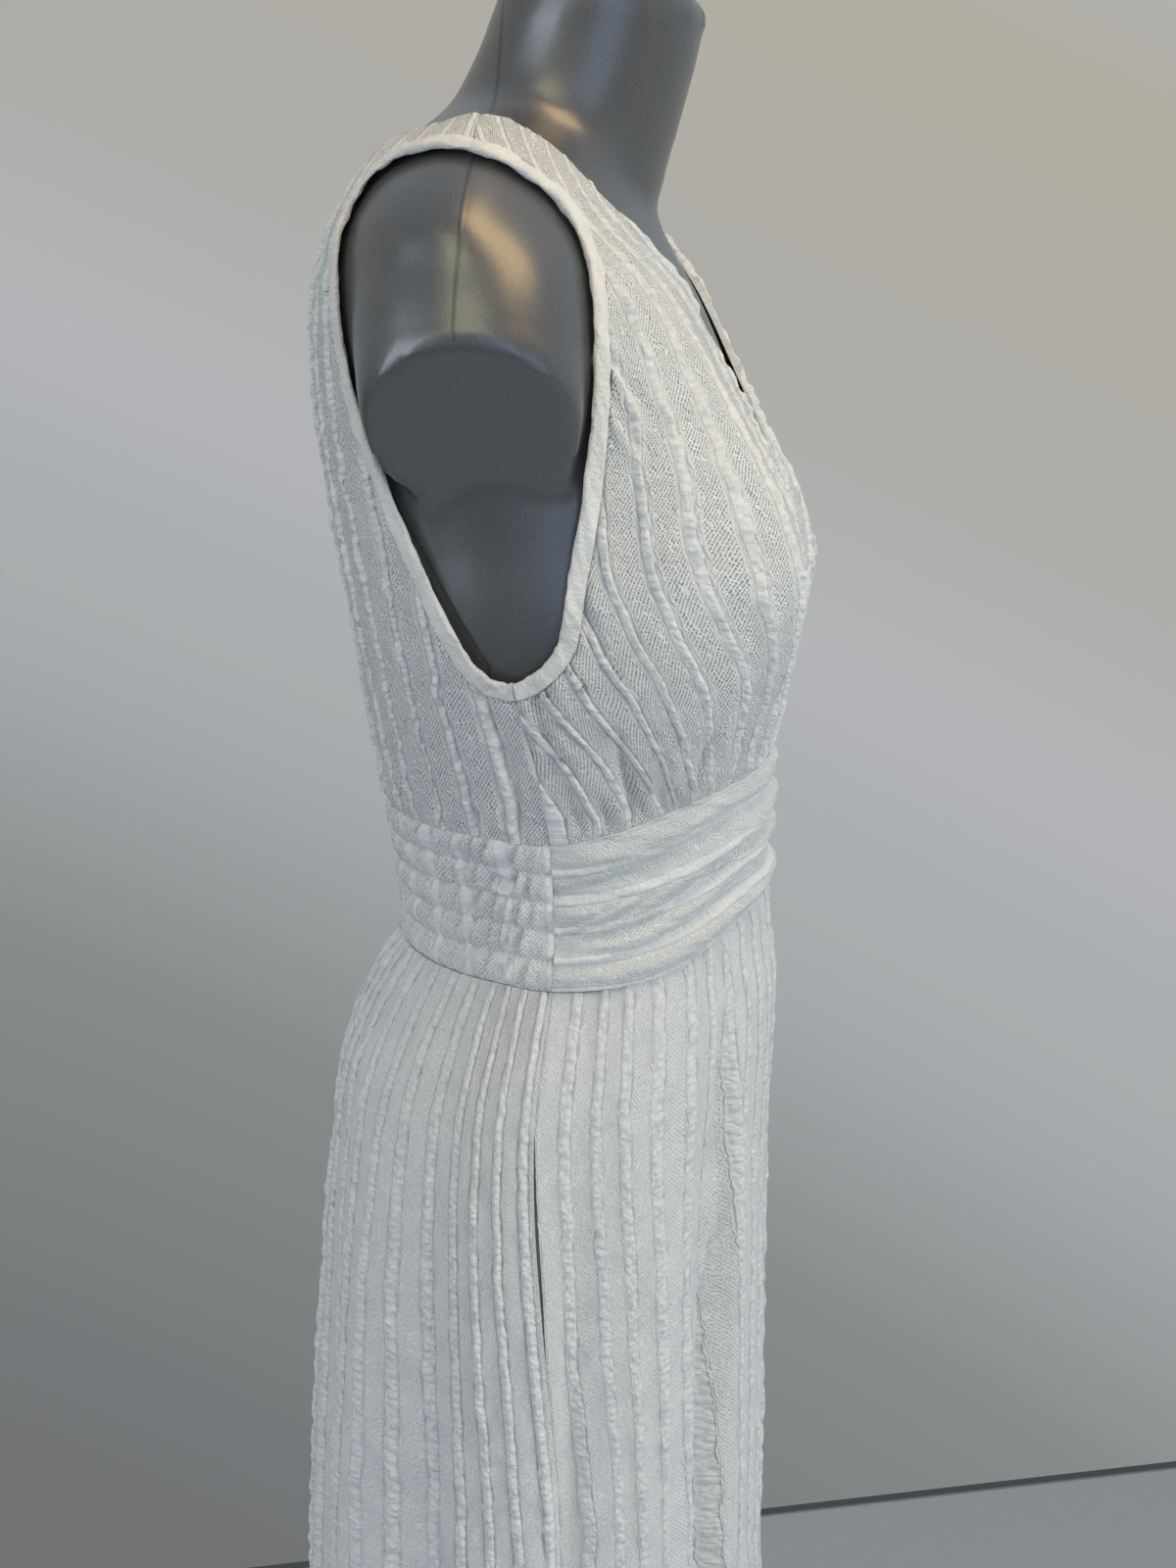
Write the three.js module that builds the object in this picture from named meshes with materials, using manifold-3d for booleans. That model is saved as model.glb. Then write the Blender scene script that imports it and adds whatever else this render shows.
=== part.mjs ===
// A sleeveless V-neck maxi dress with a draped waistband, worn by a limbless dress form on a stand.
// Millimetres, +Z up. The front faces -Y and the wearer's left side is +X.
import * as THREE from 'three';
import Module from 'manifold-3d';

const wasm = await Module();
wasm.setup();

// ---------------------------------------------------------------- driving dimensions
const CLOTH = 1.6; // thickness of the crinkled cloth
const SEAM = 0.6; // space between two pieces along a seam
const HEM_HEIGHT = 62; // hem above the floor
const SHOULDER_TOP = { x: 82, z: 1408 }; // neck end of the shoulder seam
const ARMHOLE_TOP = 1390; // outer end of the shoulder seam
const UNDERARM = 1143; // lowest point of the armhole
const V_POINT = 1166; // bottom of the V neck
const BACK_NECK = 1397; // lowest point of the scoop at the back of the neck
const BINDING = { width: 9.5, depth: 3.2 }; // strip round each armhole
const POCKET = { top: 930, bottom: 765, width: 118, depth: 2.4, clearance: 2.2 };
const POCKET_MOUTH = { top: 918, bottom: 806, gape: 3 }; // slit in the side seam
const POLE = { radius: 14, top: 688 };
const BASE = { radius: 175, edge: 5, middle: 11 };
const SOCKET = { radius: 34, top: 711.4 };

// Horizontal sections of the outer face of the cloth: half width, the y of the widest line (ridge),
// the y of the front and of the back, and how square the front and the back half are (2 = ellipse).
const SECTIONS = [
  { z: 60, half: 232, ridge: 16, front: -131, back: 162, frontPower: 2, backPower: 2 },
  { z: 300, half: 216, ridge: 19, front: -121, back: 158, frontPower: 2, backPower: 2 },
  { z: 576, half: 199, ridge: 21, front: -112, back: 154, frontPower: 2, backPower: 2 },
  { z: 690, half: 191, ridge: 19, front: -111, back: 150, frontPower: 2, backPower: 2 },
  { z: 790, half: 182, ridge: 15, front: -111, back: 142, frontPower: 2, backPower: 2 },
  { z: 838, half: 176, ridge: 13, front: -111, back: 138, frontPower: 2, backPower: 2 },
  { z: 880, half: 168, ridge: 11, front: -111, back: 133, frontPower: 2, backPower: 2 },
  { z: 915, half: 158, ridge: 8, front: -112, back: 129, frontPower: 2, backPower: 2 },
  { z: 938, half: 149, ridge: 5, front: -112, back: 121, frontPower: 2, backPower: 2 },
  { z: 962, half: 136, ridge: 1, front: -110, back: 108, frontPower: 2, backPower: 2 },
  { z: 986, half: 124, ridge: -3, front: -104, back: 94, frontPower: 2, backPower: 2 },
  { z: 1022, half: 121, ridge: -3, front: -102, back: 95, frontPower: 2, backPower: 2 },
  { z: 1058, half: 126, ridge: -2, front: -103, back: 102, frontPower: 2, backPower: 2 },
  { z: 1080, half: 132, ridge: 0, front: -104, back: 106, frontPower: 2.05, backPower: 2 },
  { z: 1110, half: 141, ridge: 6, front: -109, back: 111, frontPower: 2.1, backPower: 2 },
  { z: 1143, half: 150, ridge: 12, front: -111, back: 115, frontPower: 2.2, backPower: 2 },
  { z: 1175, half: 152, ridge: 15, front: -110, back: 120, frontPower: 2.3, backPower: 2.05 },
  { z: 1205, half: 151, ridge: 18, front: -108, back: 125, frontPower: 2.3, backPower: 2.1 },
  { z: 1240, half: 153, ridge: 22, front: -100, back: 130, frontPower: 2.2, backPower: 2.1 },
  { z: 1279, half: 159, ridge: 27, front: -85, back: 133, frontPower: 2.05, backPower: 2.1 },
  { z: 1320, half: 167, ridge: 31, front: -67, back: 131, frontPower: 1.88, backPower: 2.1 },
  { z: 1350, half: 165, ridge: 34, front: -50, back: 123, frontPower: 1.66, backPower: 2.15 },
  { z: 1370, half: 150, ridge: 36, front: -43, back: 113, frontPower: 1.5, backPower: 2.2 },
  { z: 1389, half: 125, ridge: 37, front: -41, back: 100, frontPower: 1.38, backPower: 2.2 },
  { z: 1400, half: 101, ridge: 38, front: -42, back: 88, frontPower: 1.35, backPower: 2 },
  { z: 1411, half: 75, ridge: 38, front: -44, back: 74, frontPower: 1.38, backPower: 1.8 },
  { z: 1420, half: 52, ridge: 38, front: -46, back: 64, frontPower: 1.45, backPower: 1.6 },
];

// Two soft mounds on the chest, side by side.
const BUST = { x: 75, z: 1180, height: 22, spreadX: 46, spreadZ: 62 };

// The neck of the right front, from the V point to the shoulder, as it stands in front view.
const NECKLINE = [
  { x: 0, z: V_POINT },
  { x: 14, z: 1215 },
  { x: 27, z: 1262 },
  { x: 39, z: 1300 },
  { x: 47, z: 1330 },
  { x: 58, z: 1349 },
  { x: 73, z: 1363 },
  { x: 84, z: 1380 },
  { x: 86, z: 1396 },
  SHOULDER_TOP,
];

// The armhole in side view: up the front from the underarm, over the shoulder and down the back.
// The rows with no y lie on the ridge, where the side seam and the shoulder seam meet it.
const ARMHOLE = [
  { z: UNDERARM },
  { y: -7, z: 1159 },
  { y: -12, z: 1185 },
  { y: -21, z: 1240 },
  { y: -25, z: 1295 },
  { y: -20, z: 1340 },
  { y: 0, z: 1371 },
  { z: ARMHOLE_TOP },
  { y: 72, z: 1386 },
  { y: 93, z: 1366 },
  { y: 99, z: 1335 },
  { y: 94, z: 1290 },
  { y: 78, z: 1243 },
  { y: 53, z: 1190 },
  { y: 32, z: 1153 },
];
const ARMHOLE_TOP_ROW = 7;

// Upper and lower edge of the waistband, by angle from the centre front.
const BAND_EDGES = [
  { angle: 0, top: 1082, bottom: 1010 },
  { angle: 30, top: 1080, bottom: 1003 },
  { angle: 52, top: 1073, bottom: 990 },
  { angle: 68, top: 1065, bottom: 984 },
  { angle: 90, top: 1057, bottom: 982 },
  { angle: 110, top: 1059, bottom: 984 },
  { angle: 145, top: 1058, bottom: 984 },
  { angle: 180, top: 1055, bottom: 982 },
];

// The skirt's side seam swings towards the front as it goes down.
const SIDE_SEAM = [
  { z: 982, angle: 90 },
  { z: 915, angle: 87 },
  { z: 802, angle: 80 },
  { z: 703, angle: 74 },
  { z: 400, angle: 68 },
  { z: HEM_HEIGHT, angle: 66 },
];

// Lengthwise folds of the skirt: angle at the waist and at the hem, how far the cloth stands out
// (or sinks, if negative), half width, and the height at which the fold has grown to its full depth.
const SKIRT_FOLDS = [
  { waist: 27, hem: 43, rise: -15, spread: 15, full: 880 },
  { waist: 39, hem: 56, rise: 5, spread: 15, full: 800 },
  { waist: 9, hem: 24, rise: 7, spread: 17, full: 860 },
  { waist: -4, hem: -7, rise: -7, spread: 15, full: 780 },
  { waist: -22, hem: -34, rise: -12, spread: 16, full: 850 },
  { waist: -36, hem: -50, rise: 6, spread: 17, full: 800 },
  { waist: -60, hem: -66, rise: -5, spread: 14, full: 760 },
  { waist: 66, hem: 74, rise: -4, spread: 13, full: 740 },
  { waist: 108, hem: 107, rise: -5, spread: 15, full: 720 },
  { waist: 130, hem: 127, rise: 4, spread: 18, full: 740 },
  { waist: 149, hem: 146, rise: -7, spread: 16, full: 700 },
  { waist: 172, hem: 167, rise: -6, spread: 17, full: 760 },
  { waist: -164, hem: -169, rise: 5, spread: 16, full: 720 },
  { waist: -143, hem: -148, rise: -7, spread: 17, full: 690 },
  { waist: -112, hem: -109, rise: -5, spread: 14, full: 740 },
];

// Gathers of each bodice front where it is drawn into the waistband.
const FRONT_GATHERS = [
  { angle: 77, height: 34, rise: -2, spread: 6 },
  { angle: 60, height: 60, rise: -3, spread: 7 },
  { angle: 45, height: 72, rise: -3.4, spread: 7 },
  { angle: 30, height: 44, rise: -2.6, spread: 7 },
  { angle: 14, height: 50, rise: -2.8, spread: 6 },
];

// Crosswise drapes of the front waistband: place as a share of its height at the side seam and at the
// centre front, how far the drape stands out, and its half width.
const BAND_DRAPES = [
  { side: 0.07, centre: 0.14, rise: 4.5, spread: 7 },
  { side: 0.24, centre: 0.48, rise: 3.2, spread: 6 },
  { side: 0.48, centre: 0.7, rise: 4, spread: 7 },
  { side: 0.86, centre: 0.92, rise: 2.8, spread: 6 },
];

// Torso of the form below the waistband's upper edge, down to its rounded end.
const FORM_HIPS = [
  { z: 1022, half: 115, ridge: -3, front: -94, back: 88 },
  { z: 986, half: 117, ridge: -3, front: -94, back: 87 },
  { z: 950, half: 128, ridge: 2, front: -96, back: 98 },
  { z: 900, half: 145, ridge: 7, front: -93, back: 112 },
  { z: 850, half: 154, ridge: 10, front: -91, back: 118 },
  { z: 800, half: 158, ridge: 11, front: -90, back: 119 },
  { z: 760, half: 156, ridge: 11, front: -87, back: 114 },
  { z: 735, half: 146, ridge: 10, front: -78, back: 100 },
  { z: 719, half: 124, ridge: 8, front: -60, back: 78 },
  { z: 712, half: 84, ridge: 5, front: -36, back: 48 },
];

// How far the form lies inside the outer face of the cloth, by height.
const FORM_CLEARANCE = [
  { z: 1022, gap: 6 },
  { z: 1080, gap: 6.5 },
  { z: 1200, gap: 6.5 },
  { z: 1300, gap: 5.5 },
  { z: 1370, gap: 4.2 },
  { z: 1411, gap: 3.6 },
];

// Neck of the form: rings across its leaning axis, up to a rounded rim and a flat cap.
const NECK_RINGS = [
  { y: 22, z: 1350, tilt: 0, depth: 58, half: 54 },
  { y: 16, z: 1385, tilt: 6, depth: 61, half: 57 },
  { y: 5, z: 1410, tilt: 13, depth: 57, half: 54.5 },
  { y: -5, z: 1434, tilt: 20, depth: 54, half: 53 },
  { y: -14, z: 1460, tilt: 26, depth: 53, half: 52 },
  { y: -19, z: 1474, tilt: 28, depth: 51.5, half: 51 },
  { y: -22.5, z: 1481, tilt: 28, depth: 48, half: 47.5 },
  { y: -24.5, z: 1484.5, tilt: 28, depth: 41, half: 41 },
];

// Shoulder stub of the form, wearer's right: rings across its axis, down to a flat cut.
const STUB_RINGS = [
  { x: -62, y: 37, z: 1352, depth: 44, across: 34 },
  { x: -98, y: 37, z: 1331, depth: 51, across: 46 },
  { x: -124, y: 36, z: 1309, depth: 53, across: 46 },
  { x: -146, y: 34, z: 1289, depth: 53, across: 44 },
  { x: -163, y: 31.5, z: 1275, depth: 51, across: 40 },
  { x: -166, y: 31, z: 1272.5, depth: 48, across: 37 },
];

const DEGREE = Math.PI / 180;

// ---------------------------------------------------------------- the surface that the cloth follows

// Smooth value of one column of a table whose rows rise (or fall) steadily in the column named by.
function column(rows, by, key, at) {
  const rising = rows[rows.length - 1][by] > rows[0][by];
  const list = rising ? rows : [...rows].reverse();
  if (at <= list[0][by]) return list[0][key];
  if (at >= list[list.length - 1][by]) return list[list.length - 1][key];
  let low = 0;
  while (list[low + 1][by] < at) low += 1;
  const slope = (row) => {
    const before = list[Math.max(row - 1, 0)];
    const after = list[Math.min(row + 1, list.length - 1)];
    return (after[key] - before[key]) / (after[by] - before[by]);
  };
  const span = list[low + 1][by] - list[low][by];
  const t = (at - list[low][by]) / span;
  const t2 = t * t;
  const t3 = t2 * t;
  return (
    (2 * t3 - 3 * t2 + 1) * list[low][key] +
    (t3 - 2 * t2 + t) * span * slope(low) +
    (3 * t2 - 2 * t3) * list[low + 1][key] +
    (t3 - t2) * span * slope(low + 1)
  );
}

function sectionAt(z) {
  const section = {};
  for (const key of ['half', 'ridge', 'front', 'back', 'frontPower', 'backPower']) {
    section[key] = column(SECTIONS, 'z', key, z);
  }
  return section;
}

function smooth(low, high, value) {
  return THREE.MathUtils.smoothstep(value, low, high);
}

function bell(distance, spread) {
  return Math.exp(-((distance / spread) ** 2));
}

// Point of the outer face. The angle turns from the centre front (0) to the wearer's right (90).
function skin(angle, z) {
  const section = sectionAt(z);
  const side = Math.sin(angle * DEGREE);
  const ahead = Math.cos(angle * DEGREE);
  const power = ahead >= 0 ? section.frontPower : section.backPower;
  const depth = ahead >= 0 ? section.ridge - section.front : section.back - section.ridge;
  const length = (Math.abs(side) ** power + Math.abs(ahead) ** power) ** (1 / power);
  const x = (-section.half * side) / length;
  const mound = BUST.height * bell(Math.abs(x) - BUST.x, BUST.spreadX) * bell(z - BUST.z, BUST.spreadZ);
  const y = section.ridge - (depth * ahead) / length - mound * smooth(0, 0.5, ahead);
  return new THREE.Vector3(x, y, z);
}

function tangents(angle, z) {
  const turn = 0.5;
  const rise = 0.5;
  const around = skin(angle + turn, z).sub(skin(angle - turn, z)).divideScalar(2 * turn);
  const up = skin(angle, z + rise).sub(skin(angle, z - rise)).divideScalar(2 * rise);
  return { around, up, normal: up.clone().cross(around).normalize() };
}

// The same surface moved out along its normal (in, if the distance is negative).
function raised(place, distance) {
  const { normal } = tangents(place.angle, place.z);
  return skin(place.angle, place.z).addScaledVector(normal, distance);
}

// Place on the front whose distance from the centre line is x.
function placeAtWidth(x, z) {
  const { half, frontPower } = sectionAt(z);
  const side = Math.abs(x) / half;
  const ahead = (1 - side ** frontPower) ** (1 / frontPower);
  return { angle: Math.atan2(side, ahead) / DEGREE, z };
}

// Place on the right side whose depth in side view is y.
function placeAtDepth(y, z) {
  const { ridge, front, back, frontPower, backPower } = sectionAt(z);
  const power = y < ridge ? frontPower : backPower;
  const ahead = y < ridge ? (ridge - y) / (ridge - front) : (y - ridge) / (back - ridge);
  const side = (1 - ahead ** power) ** (1 / power);
  return { angle: Math.atan2(side, y < ridge ? ahead : -ahead) / DEGREE, z };
}

// Place reached from another one by a move along the surface, taken in short steps.
function moved(start, move) {
  const steps = 6;
  let { angle, z } = start;
  for (let step = 0; step < steps; step += 1) {
    const { around, up } = tangents(angle, z);
    const a = around.dot(around);
    const b = around.dot(up);
    const c = up.dot(up);
    const p = around.dot(move) / steps;
    const q = up.dot(move) / steps;
    const scale = a * c - b * b;
    angle += (c * p - b * q) / scale;
    z += (a * q - b * p) / scale;
  }
  return { angle, z };
}

// ---------------------------------------------------------------- edges of the pieces

// path at count + 1 even steps from low to high.
function between(low, high, count, path) {
  return Array.from({ length: count + 1 }, (_, i) => path(THREE.MathUtils.lerp(low, high, i / count)));
}

// count + 1 places at even steps of real length along a path of places.
function evenly(path, count) {
  const fine = 120;
  const places = Array.from({ length: fine + 1 }, (_, step) => path(step / fine));
  const lengths = [0];
  for (let step = 1; step <= fine; step += 1) {
    const from = skin(places[step - 1].angle, places[step - 1].z);
    lengths.push(lengths[step - 1] + from.distanceTo(skin(places[step].angle, places[step].z)));
  }
  const result = [];
  let step = 0;
  for (let index = 0; index <= count; index += 1) {
    const wanted = (lengths[fine] * index) / count;
    while (step < fine - 1 && lengths[step + 1] < wanted) step += 1;
    const share = (wanted - lengths[step]) / (lengths[step + 1] - lengths[step]);
    result.push({
      angle: THREE.MathUtils.lerp(places[step].angle, places[step + 1].angle, share),
      z: THREE.MathUtils.lerp(places[step].z, places[step + 1].z, share),
    });
  }
  return result;
}

const armholeCurve = new THREE.CatmullRomCurve3(
  ARMHOLE.map(({ y, z }) => new THREE.Vector3(0, y ?? sectionAt(z).ridge, z)),
  true,
  'catmullrom',
);
const armholeTopShare = ARMHOLE_TOP_ROW / ARMHOLE.length;

// Place on the rim of the right armhole, t from 0 to 1 all the way round.
function armholeRim(t) {
  const isRidge = t === 0 || t === 1 || Math.abs(t - armholeTopShare) < 1e-6;
  const point = armholeCurve.getPoint(t % 1);
  return isRidge ? { angle: 90, z: point.z } : placeAtDepth(point.y, point.z);
}

// Direction on the surface that leads away from the middle of the armhole.
function awayFromArmhole(t) {
  const place = armholeRim(t);
  const before = armholeRim((t + 0.996) % 1);
  const after = armholeRim((t + 0.004) % 1);
  const along = skin(after.angle, after.z).sub(skin(before.angle, before.z));
  const { normal } = tangents(place.angle, place.z);
  return along.cross(normal).normalize();
}

// Edge of the cloth along the armhole: the rim moved out by the width of the binding.
function armholeSeam(t) {
  return moved(armholeRim(t), awayFromArmhole(t).multiplyScalar(BINDING.width));
}

const underarmSeam = armholeSeam(0);
const shoulderOuter = armholeSeam(armholeTopShare);
const shoulderInner = placeAtWidth(SHOULDER_TOP.x, SHOULDER_TOP.z);

function along(from, to) {
  return (t) => ({
    angle: THREE.MathUtils.lerp(from.angle, to.angle, t),
    z: THREE.MathUtils.lerp(from.z, to.z, t),
  });
}

const bandEdge = (edge) => (angle) => {
  const turned = Math.abs(((angle + 540) % 360) - 180);
  return { angle, z: column(BAND_EDGES, 'angle', edge, turned) };
};
const bandTop = bandEdge('top');
const bandBottom = bandEdge('bottom');

// ---------------------------------------------------------------- relief: folds, gathers and drapes

// Distance along the cloth between two angles at one height.
function arc(angle, other, z) {
  const { half, front, back } = sectionAt(z);
  const apart = ((angle - other + 540) % 360) - 180;
  return apart * DEGREE * 0.5 * (half + (back - front) / 2);
}

function skirtRelief({ angle, z }) {
  const waist = bandBottom(angle).z;
  let relief = 0;
  for (const fold of SKIRT_FOLDS) {
    const down = (waist - z) / (waist - HEM_HEIGHT);
    const foldAngle = THREE.MathUtils.lerp(fold.waist, fold.hem, Math.min(down / 0.35, 1));
    const grown = 1 - smooth(fold.full, waist - 4, z);
    relief += fold.rise * grown * bell(arc(angle, foldAngle, z), fold.spread * (0.8 + 0.9 * down));
  }
  return relief;
}

function frontGatherRelief({ angle, z }) {
  const height = z - bandTop(angle).z;
  let relief = 0;
  for (const gather of FRONT_GATHERS) {
    const fade = 1 - smooth(gather.height * 0.4, gather.height, height);
    relief += gather.rise * fade * bell(arc(Math.abs(angle), gather.angle, z), gather.spread);
  }
  return relief;
}

function bandDrapeRelief({ angle, z }) {
  const bottom = bandBottom(angle).z;
  const height = bandTop(angle).z - bottom;
  const sideways = Math.abs(angle) / 90;
  const caught = 1 - smooth(0.86, 1, sideways) * 0.55;
  let relief = 0;
  for (const drape of BAND_DRAPES) {
    const level = bottom + height * THREE.MathUtils.lerp(drape.centre, drape.side, sideways);
    relief += drape.rise * caught * bell(z - level, drape.spread);
  }
  return relief;
}

const CHANNELS = 5; // rows of elastic across the back waistband

function bandShirringRelief({ angle, z }) {
  const bottom = bandBottom(angle).z;
  const share = (z - bottom) / (bandTop(angle).z - bottom);
  return 1.6 * Math.abs(Math.sin(Math.PI * CHANNELS * share)) - 0.8;
}

const flat = () => 0;

// ---------------------------------------------------------------- solids

function geometryFrom(positions, triangles) {
  let volume = 0;
  for (let index = 0; index < triangles.length; index += 3) {
    const [a, b, c] = [0, 1, 2].map((corner) => positions[triangles[index + corner]]);
    volume += a.dot(b.clone().cross(c));
  }
  const facing = volume < 0 ? triangles.map((_, i) => triangles[i - (i % 3) + (2 - (i % 3))]) : triangles;
  const geometry = new THREE.BufferGeometry();
  const numbers = positions.flatMap((point) => [point.x, point.y, point.z]);
  geometry.setAttribute('position', new THREE.Float32BufferAttribute(numbers, 3));
  geometry.setIndex(facing);
  geometry.computeVertexNormals();
  return geometry;
}

// The corners of a quad in an order whose first diagonal leaves the two triangles facing most alike.
function flattestSplit(quad, points) {
  const facing = (a, b, c) => {
    const side = points[b].clone().sub(points[a]);
    return side.cross(points[c].clone().sub(points[a])).normalize();
  };
  const [a, b, c, d] = quad;
  const firstWay = facing(a, b, c).dot(facing(a, c, d));
  const otherWay = facing(b, c, d).dot(facing(b, d, a));
  return firstWay >= otherWay ? quad : [b, c, d, a];
}

// A closed wall: a sheet of quads between outer points, the same sheet between inner points, and a rim
// along every border of the sheet.
function wallBetween(outer, inner, quads) {
  const count = outer.length;
  const triangles = [];
  const edges = new Map();
  for (const quad of quads) {
    const [a, b, c, d] = flattestSplit(quad, outer);
    triangles.push(a, b, c, a, c, d);
    triangles.push(a + count, c + count, b + count, a + count, d + count, c + count);
    for (const [from, to] of [[a, b], [b, c], [c, d], [d, a]]) {
      const twin = `${to} ${from}`;
      if (edges.has(twin)) edges.delete(twin);
      else edges.set(`${from} ${to}`, [from, to]);
    }
  }
  for (const [from, to] of edges.values()) {
    triangles.push(from, to + count, to, from, from + count, to + count);
  }
  return geometryFrom([...outer, ...inner], triangles);
}

// Rings of points joined one to the next, closed by a fan at both ends.
function loft(rings) {
  const count = rings[0].length;
  const middle = (ring) => ring.reduce((sum, p) => sum.add(p), new THREE.Vector3()).divideScalar(count);
  const positions = [...rings.flat(), middle(rings[0]), middle(rings[rings.length - 1])];
  const triangles = [];
  for (let ring = 0; ring < rings.length - 1; ring += 1) {
    for (let index = 0; index < count; index += 1) {
      const next = (index + 1) % count;
      const [a, b] = [ring * count + index, ring * count + next];
      triangles.push(a, b, b + count, a, b + count, a + count);
    }
  }
  const first = rings.length * count;
  const lastRing = (rings.length - 1) * count;
  for (let index = 0; index < count; index += 1) {
    const next = (index + 1) % count;
    triangles.push(first, next, index, first + 1, lastRing + index, lastRing + next);
  }
  return geometryFrom(positions, triangles);
}

// A ring of sections joined round and closed on itself.
function closedTube(sections) {
  const count = sections[0].length;
  const triangles = [];
  sections.forEach((_, section) => {
    const following = (section + 1) % sections.length;
    for (let index = 0; index < count; index += 1) {
      const next = (index + 1) % count;
      const [a, b] = [section * count + index, section * count + next];
      const [c, d] = [following * count + next, following * count + index];
      triangles.push(a, b, c, a, c, d);
    }
  });
  return geometryFrom(sections.flat(), triangles);
}

// Pulls the four borders of a grid of places in by half a seam's space. The first rows of the last
// column stay where they are if the cloth goes on past them.
function trimmed(grid, joinedRows = 0) {
  const rows = grid.length;
  const columns = grid[0].length;
  const result = grid.map((row) => row.map((place) => ({ ...place })));
  const pull = (row, col, towardRow, towardCol) => {
    const place = grid[row][col];
    const toward = grid[towardRow][towardCol];
    const length = skin(place.angle, place.z).distanceTo(skin(toward.angle, toward.z));
    const share = SEAM / 2 / Math.max(length, SEAM);
    result[row][col].angle += (toward.angle - place.angle) * share;
    result[row][col].z += (toward.z - place.z) * share;
  };
  for (let col = 0; col < columns; col += 1) {
    pull(0, col, 1, col);
    pull(rows - 1, col, rows - 2, col);
  }
  for (let row = 0; row < rows; row += 1) {
    pull(row, 0, row, 1);
    if (row >= joinedRows) pull(row, columns - 1, row, columns - 2);
  }
  return result;
}

// Cloth on one grid of places or on several that share places, with its relief.
function cloth(grids, relief, depthBelow = () => 0, thickness = CLOTH) {
  const numbers = new Map();
  const places = [];
  const numberOf = (place) => {
    const key = `${place.angle.toFixed(6)} ${place.z.toFixed(6)}`;
    if (!numbers.has(key)) {
      numbers.set(key, places.length);
      places.push(place);
    }
    return numbers.get(key);
  };
  const quads = [];
  for (const grid of grids) {
    for (let row = 0; row < grid.length - 1; row += 1) {
      for (let col = 0; col < grid[0].length - 1; col += 1) {
        const corners = [grid[row][col], grid[row][col + 1], grid[row + 1][col + 1], grid[row + 1][col]];
        quads.push(corners.map(numberOf));
      }
    }
  }
  const outer = places.map((place) => raised(place, relief(place) - depthBelow(place)));
  const inner = places.map((place) => raised(place, relief(place) - depthBelow(place) - thickness));
  return wallBetween(outer, inner, quads);
}

// Grid of places between four edges, each a list of places: bottom and top run from left to right,
// left and right run from bottom to top.
function patch(bottom, right, top, left) {
  const columns = bottom.length - 1;
  const rows = left.length - 1;
  return left.map((_, row) => {
    const v = row / rows;
    const line = bottom.map((_, col) => {
      const u = col / columns;
      const mix = (key) =>
        (1 - v) * bottom[col][key] +
        v * top[col][key] +
        (1 - u) * left[row][key] +
        u * right[row][key] -
        (1 - u) * (1 - v) * bottom[0][key] -
        u * (1 - v) * bottom[columns][key] -
        (1 - u) * v * top[0][key] -
        u * v * top[columns][key];
      return { angle: mix('angle'), z: mix('z') };
    });
    return line;
  });
}

// Left-hand twin of a grid on the right-hand side.
function mirrored(grid) {
  return grid.map((row) => [...row].reverse().map(({ angle, z }) => ({ angle: -angle, z })));
}


// ---------------------------------------------------------------- the bodice
const LOWER_ROWS = 4;
const UPPER_ROWS = 13;
const FRONT_COLUMNS = 16;

const neckCurve = new THREE.CatmullRomCurve3(NECKLINE.map(({ x, z }) => new THREE.Vector3(x, 0, z)));
const neckPath = (t) => {
  const point = neckCurve.getPoint(t);
  return placeAtWidth(point.x, point.z);
};
// Shares of the way round the armhole at which the panels' rows and the binding's sections lie.
const frontShares = between(0, armholeTopShare, UPPER_ROWS, (t) => t);
const backShares = between(1, armholeTopShare, UPPER_ROWS, (t) => t);
const armholeEdge = (shares) => [underarmSeam, ...shares.slice(1, -1).map(armholeSeam), shoulderOuter];

function bodiceFrontGrid() {
  const centre = evenly(along(bandTop(0), { angle: 0, z: V_POINT }), LOWER_ROWS);
  const side = evenly(along(bandTop(90), underarmSeam), LOWER_ROWS);
  const left = [...centre, ...evenly(neckPath, UPPER_ROWS).slice(1)];
  const right = [...side, ...armholeEdge(frontShares).slice(1)];
  left[left.length - 1] = shoulderInner;
  const bottom = evenly((t) => bandTop(90 * t), FRONT_COLUMNS);
  const top = evenly(along(shoulderInner, shoulderOuter), FRONT_COLUMNS);
  return trimmed(patch(bottom, right, top, left));
}

const BACK_COLUMNS = 12;
const CENTRE_BACK_ROWS = 13;
const CENTRE_BACK_LEVEL = 1118; // where the row through the underarm meets the centre back

// Half of the back: its columns run up to the shoulder seam, and its last column follows the centre
// back and then the scoop of the neck.
function bodiceHalfBackGrid() {
  const side = evenly(along(bandTop(90), underarmSeam), LOWER_ROWS);
  const left = [...side, ...armholeEdge(backShares).slice(1)];
  const neckBase = { angle: 180, z: BACK_NECK };
  const level = { angle: 180, z: CENTRE_BACK_LEVEL };
  const centre = [
    ...evenly(along(bandTop(180), level), LOWER_ROWS),
    ...evenly(along(level, neckBase), CENTRE_BACK_ROWS - LOWER_ROWS).slice(1),
  ];
  const scoop = (t) => ({
    angle: THREE.MathUtils.lerp(180, shoulderInner.angle, t),
    z: THREE.MathUtils.lerp(BACK_NECK, SHOULDER_TOP.z, 1 - Math.cos((Math.PI / 2) * t)),
  });
  const right = [...centre, ...evenly(scoop, LOWER_ROWS + UPPER_ROWS - CENTRE_BACK_ROWS).slice(1)];
  const bottom = evenly((t) => bandTop(90 + 90 * t), BACK_COLUMNS);
  const top = evenly(along(shoulderOuter, shoulderInner), BACK_COLUMNS);
  return trimmed(patch(bottom, right, top, left), CENTRE_BACK_ROWS);
}

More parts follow.
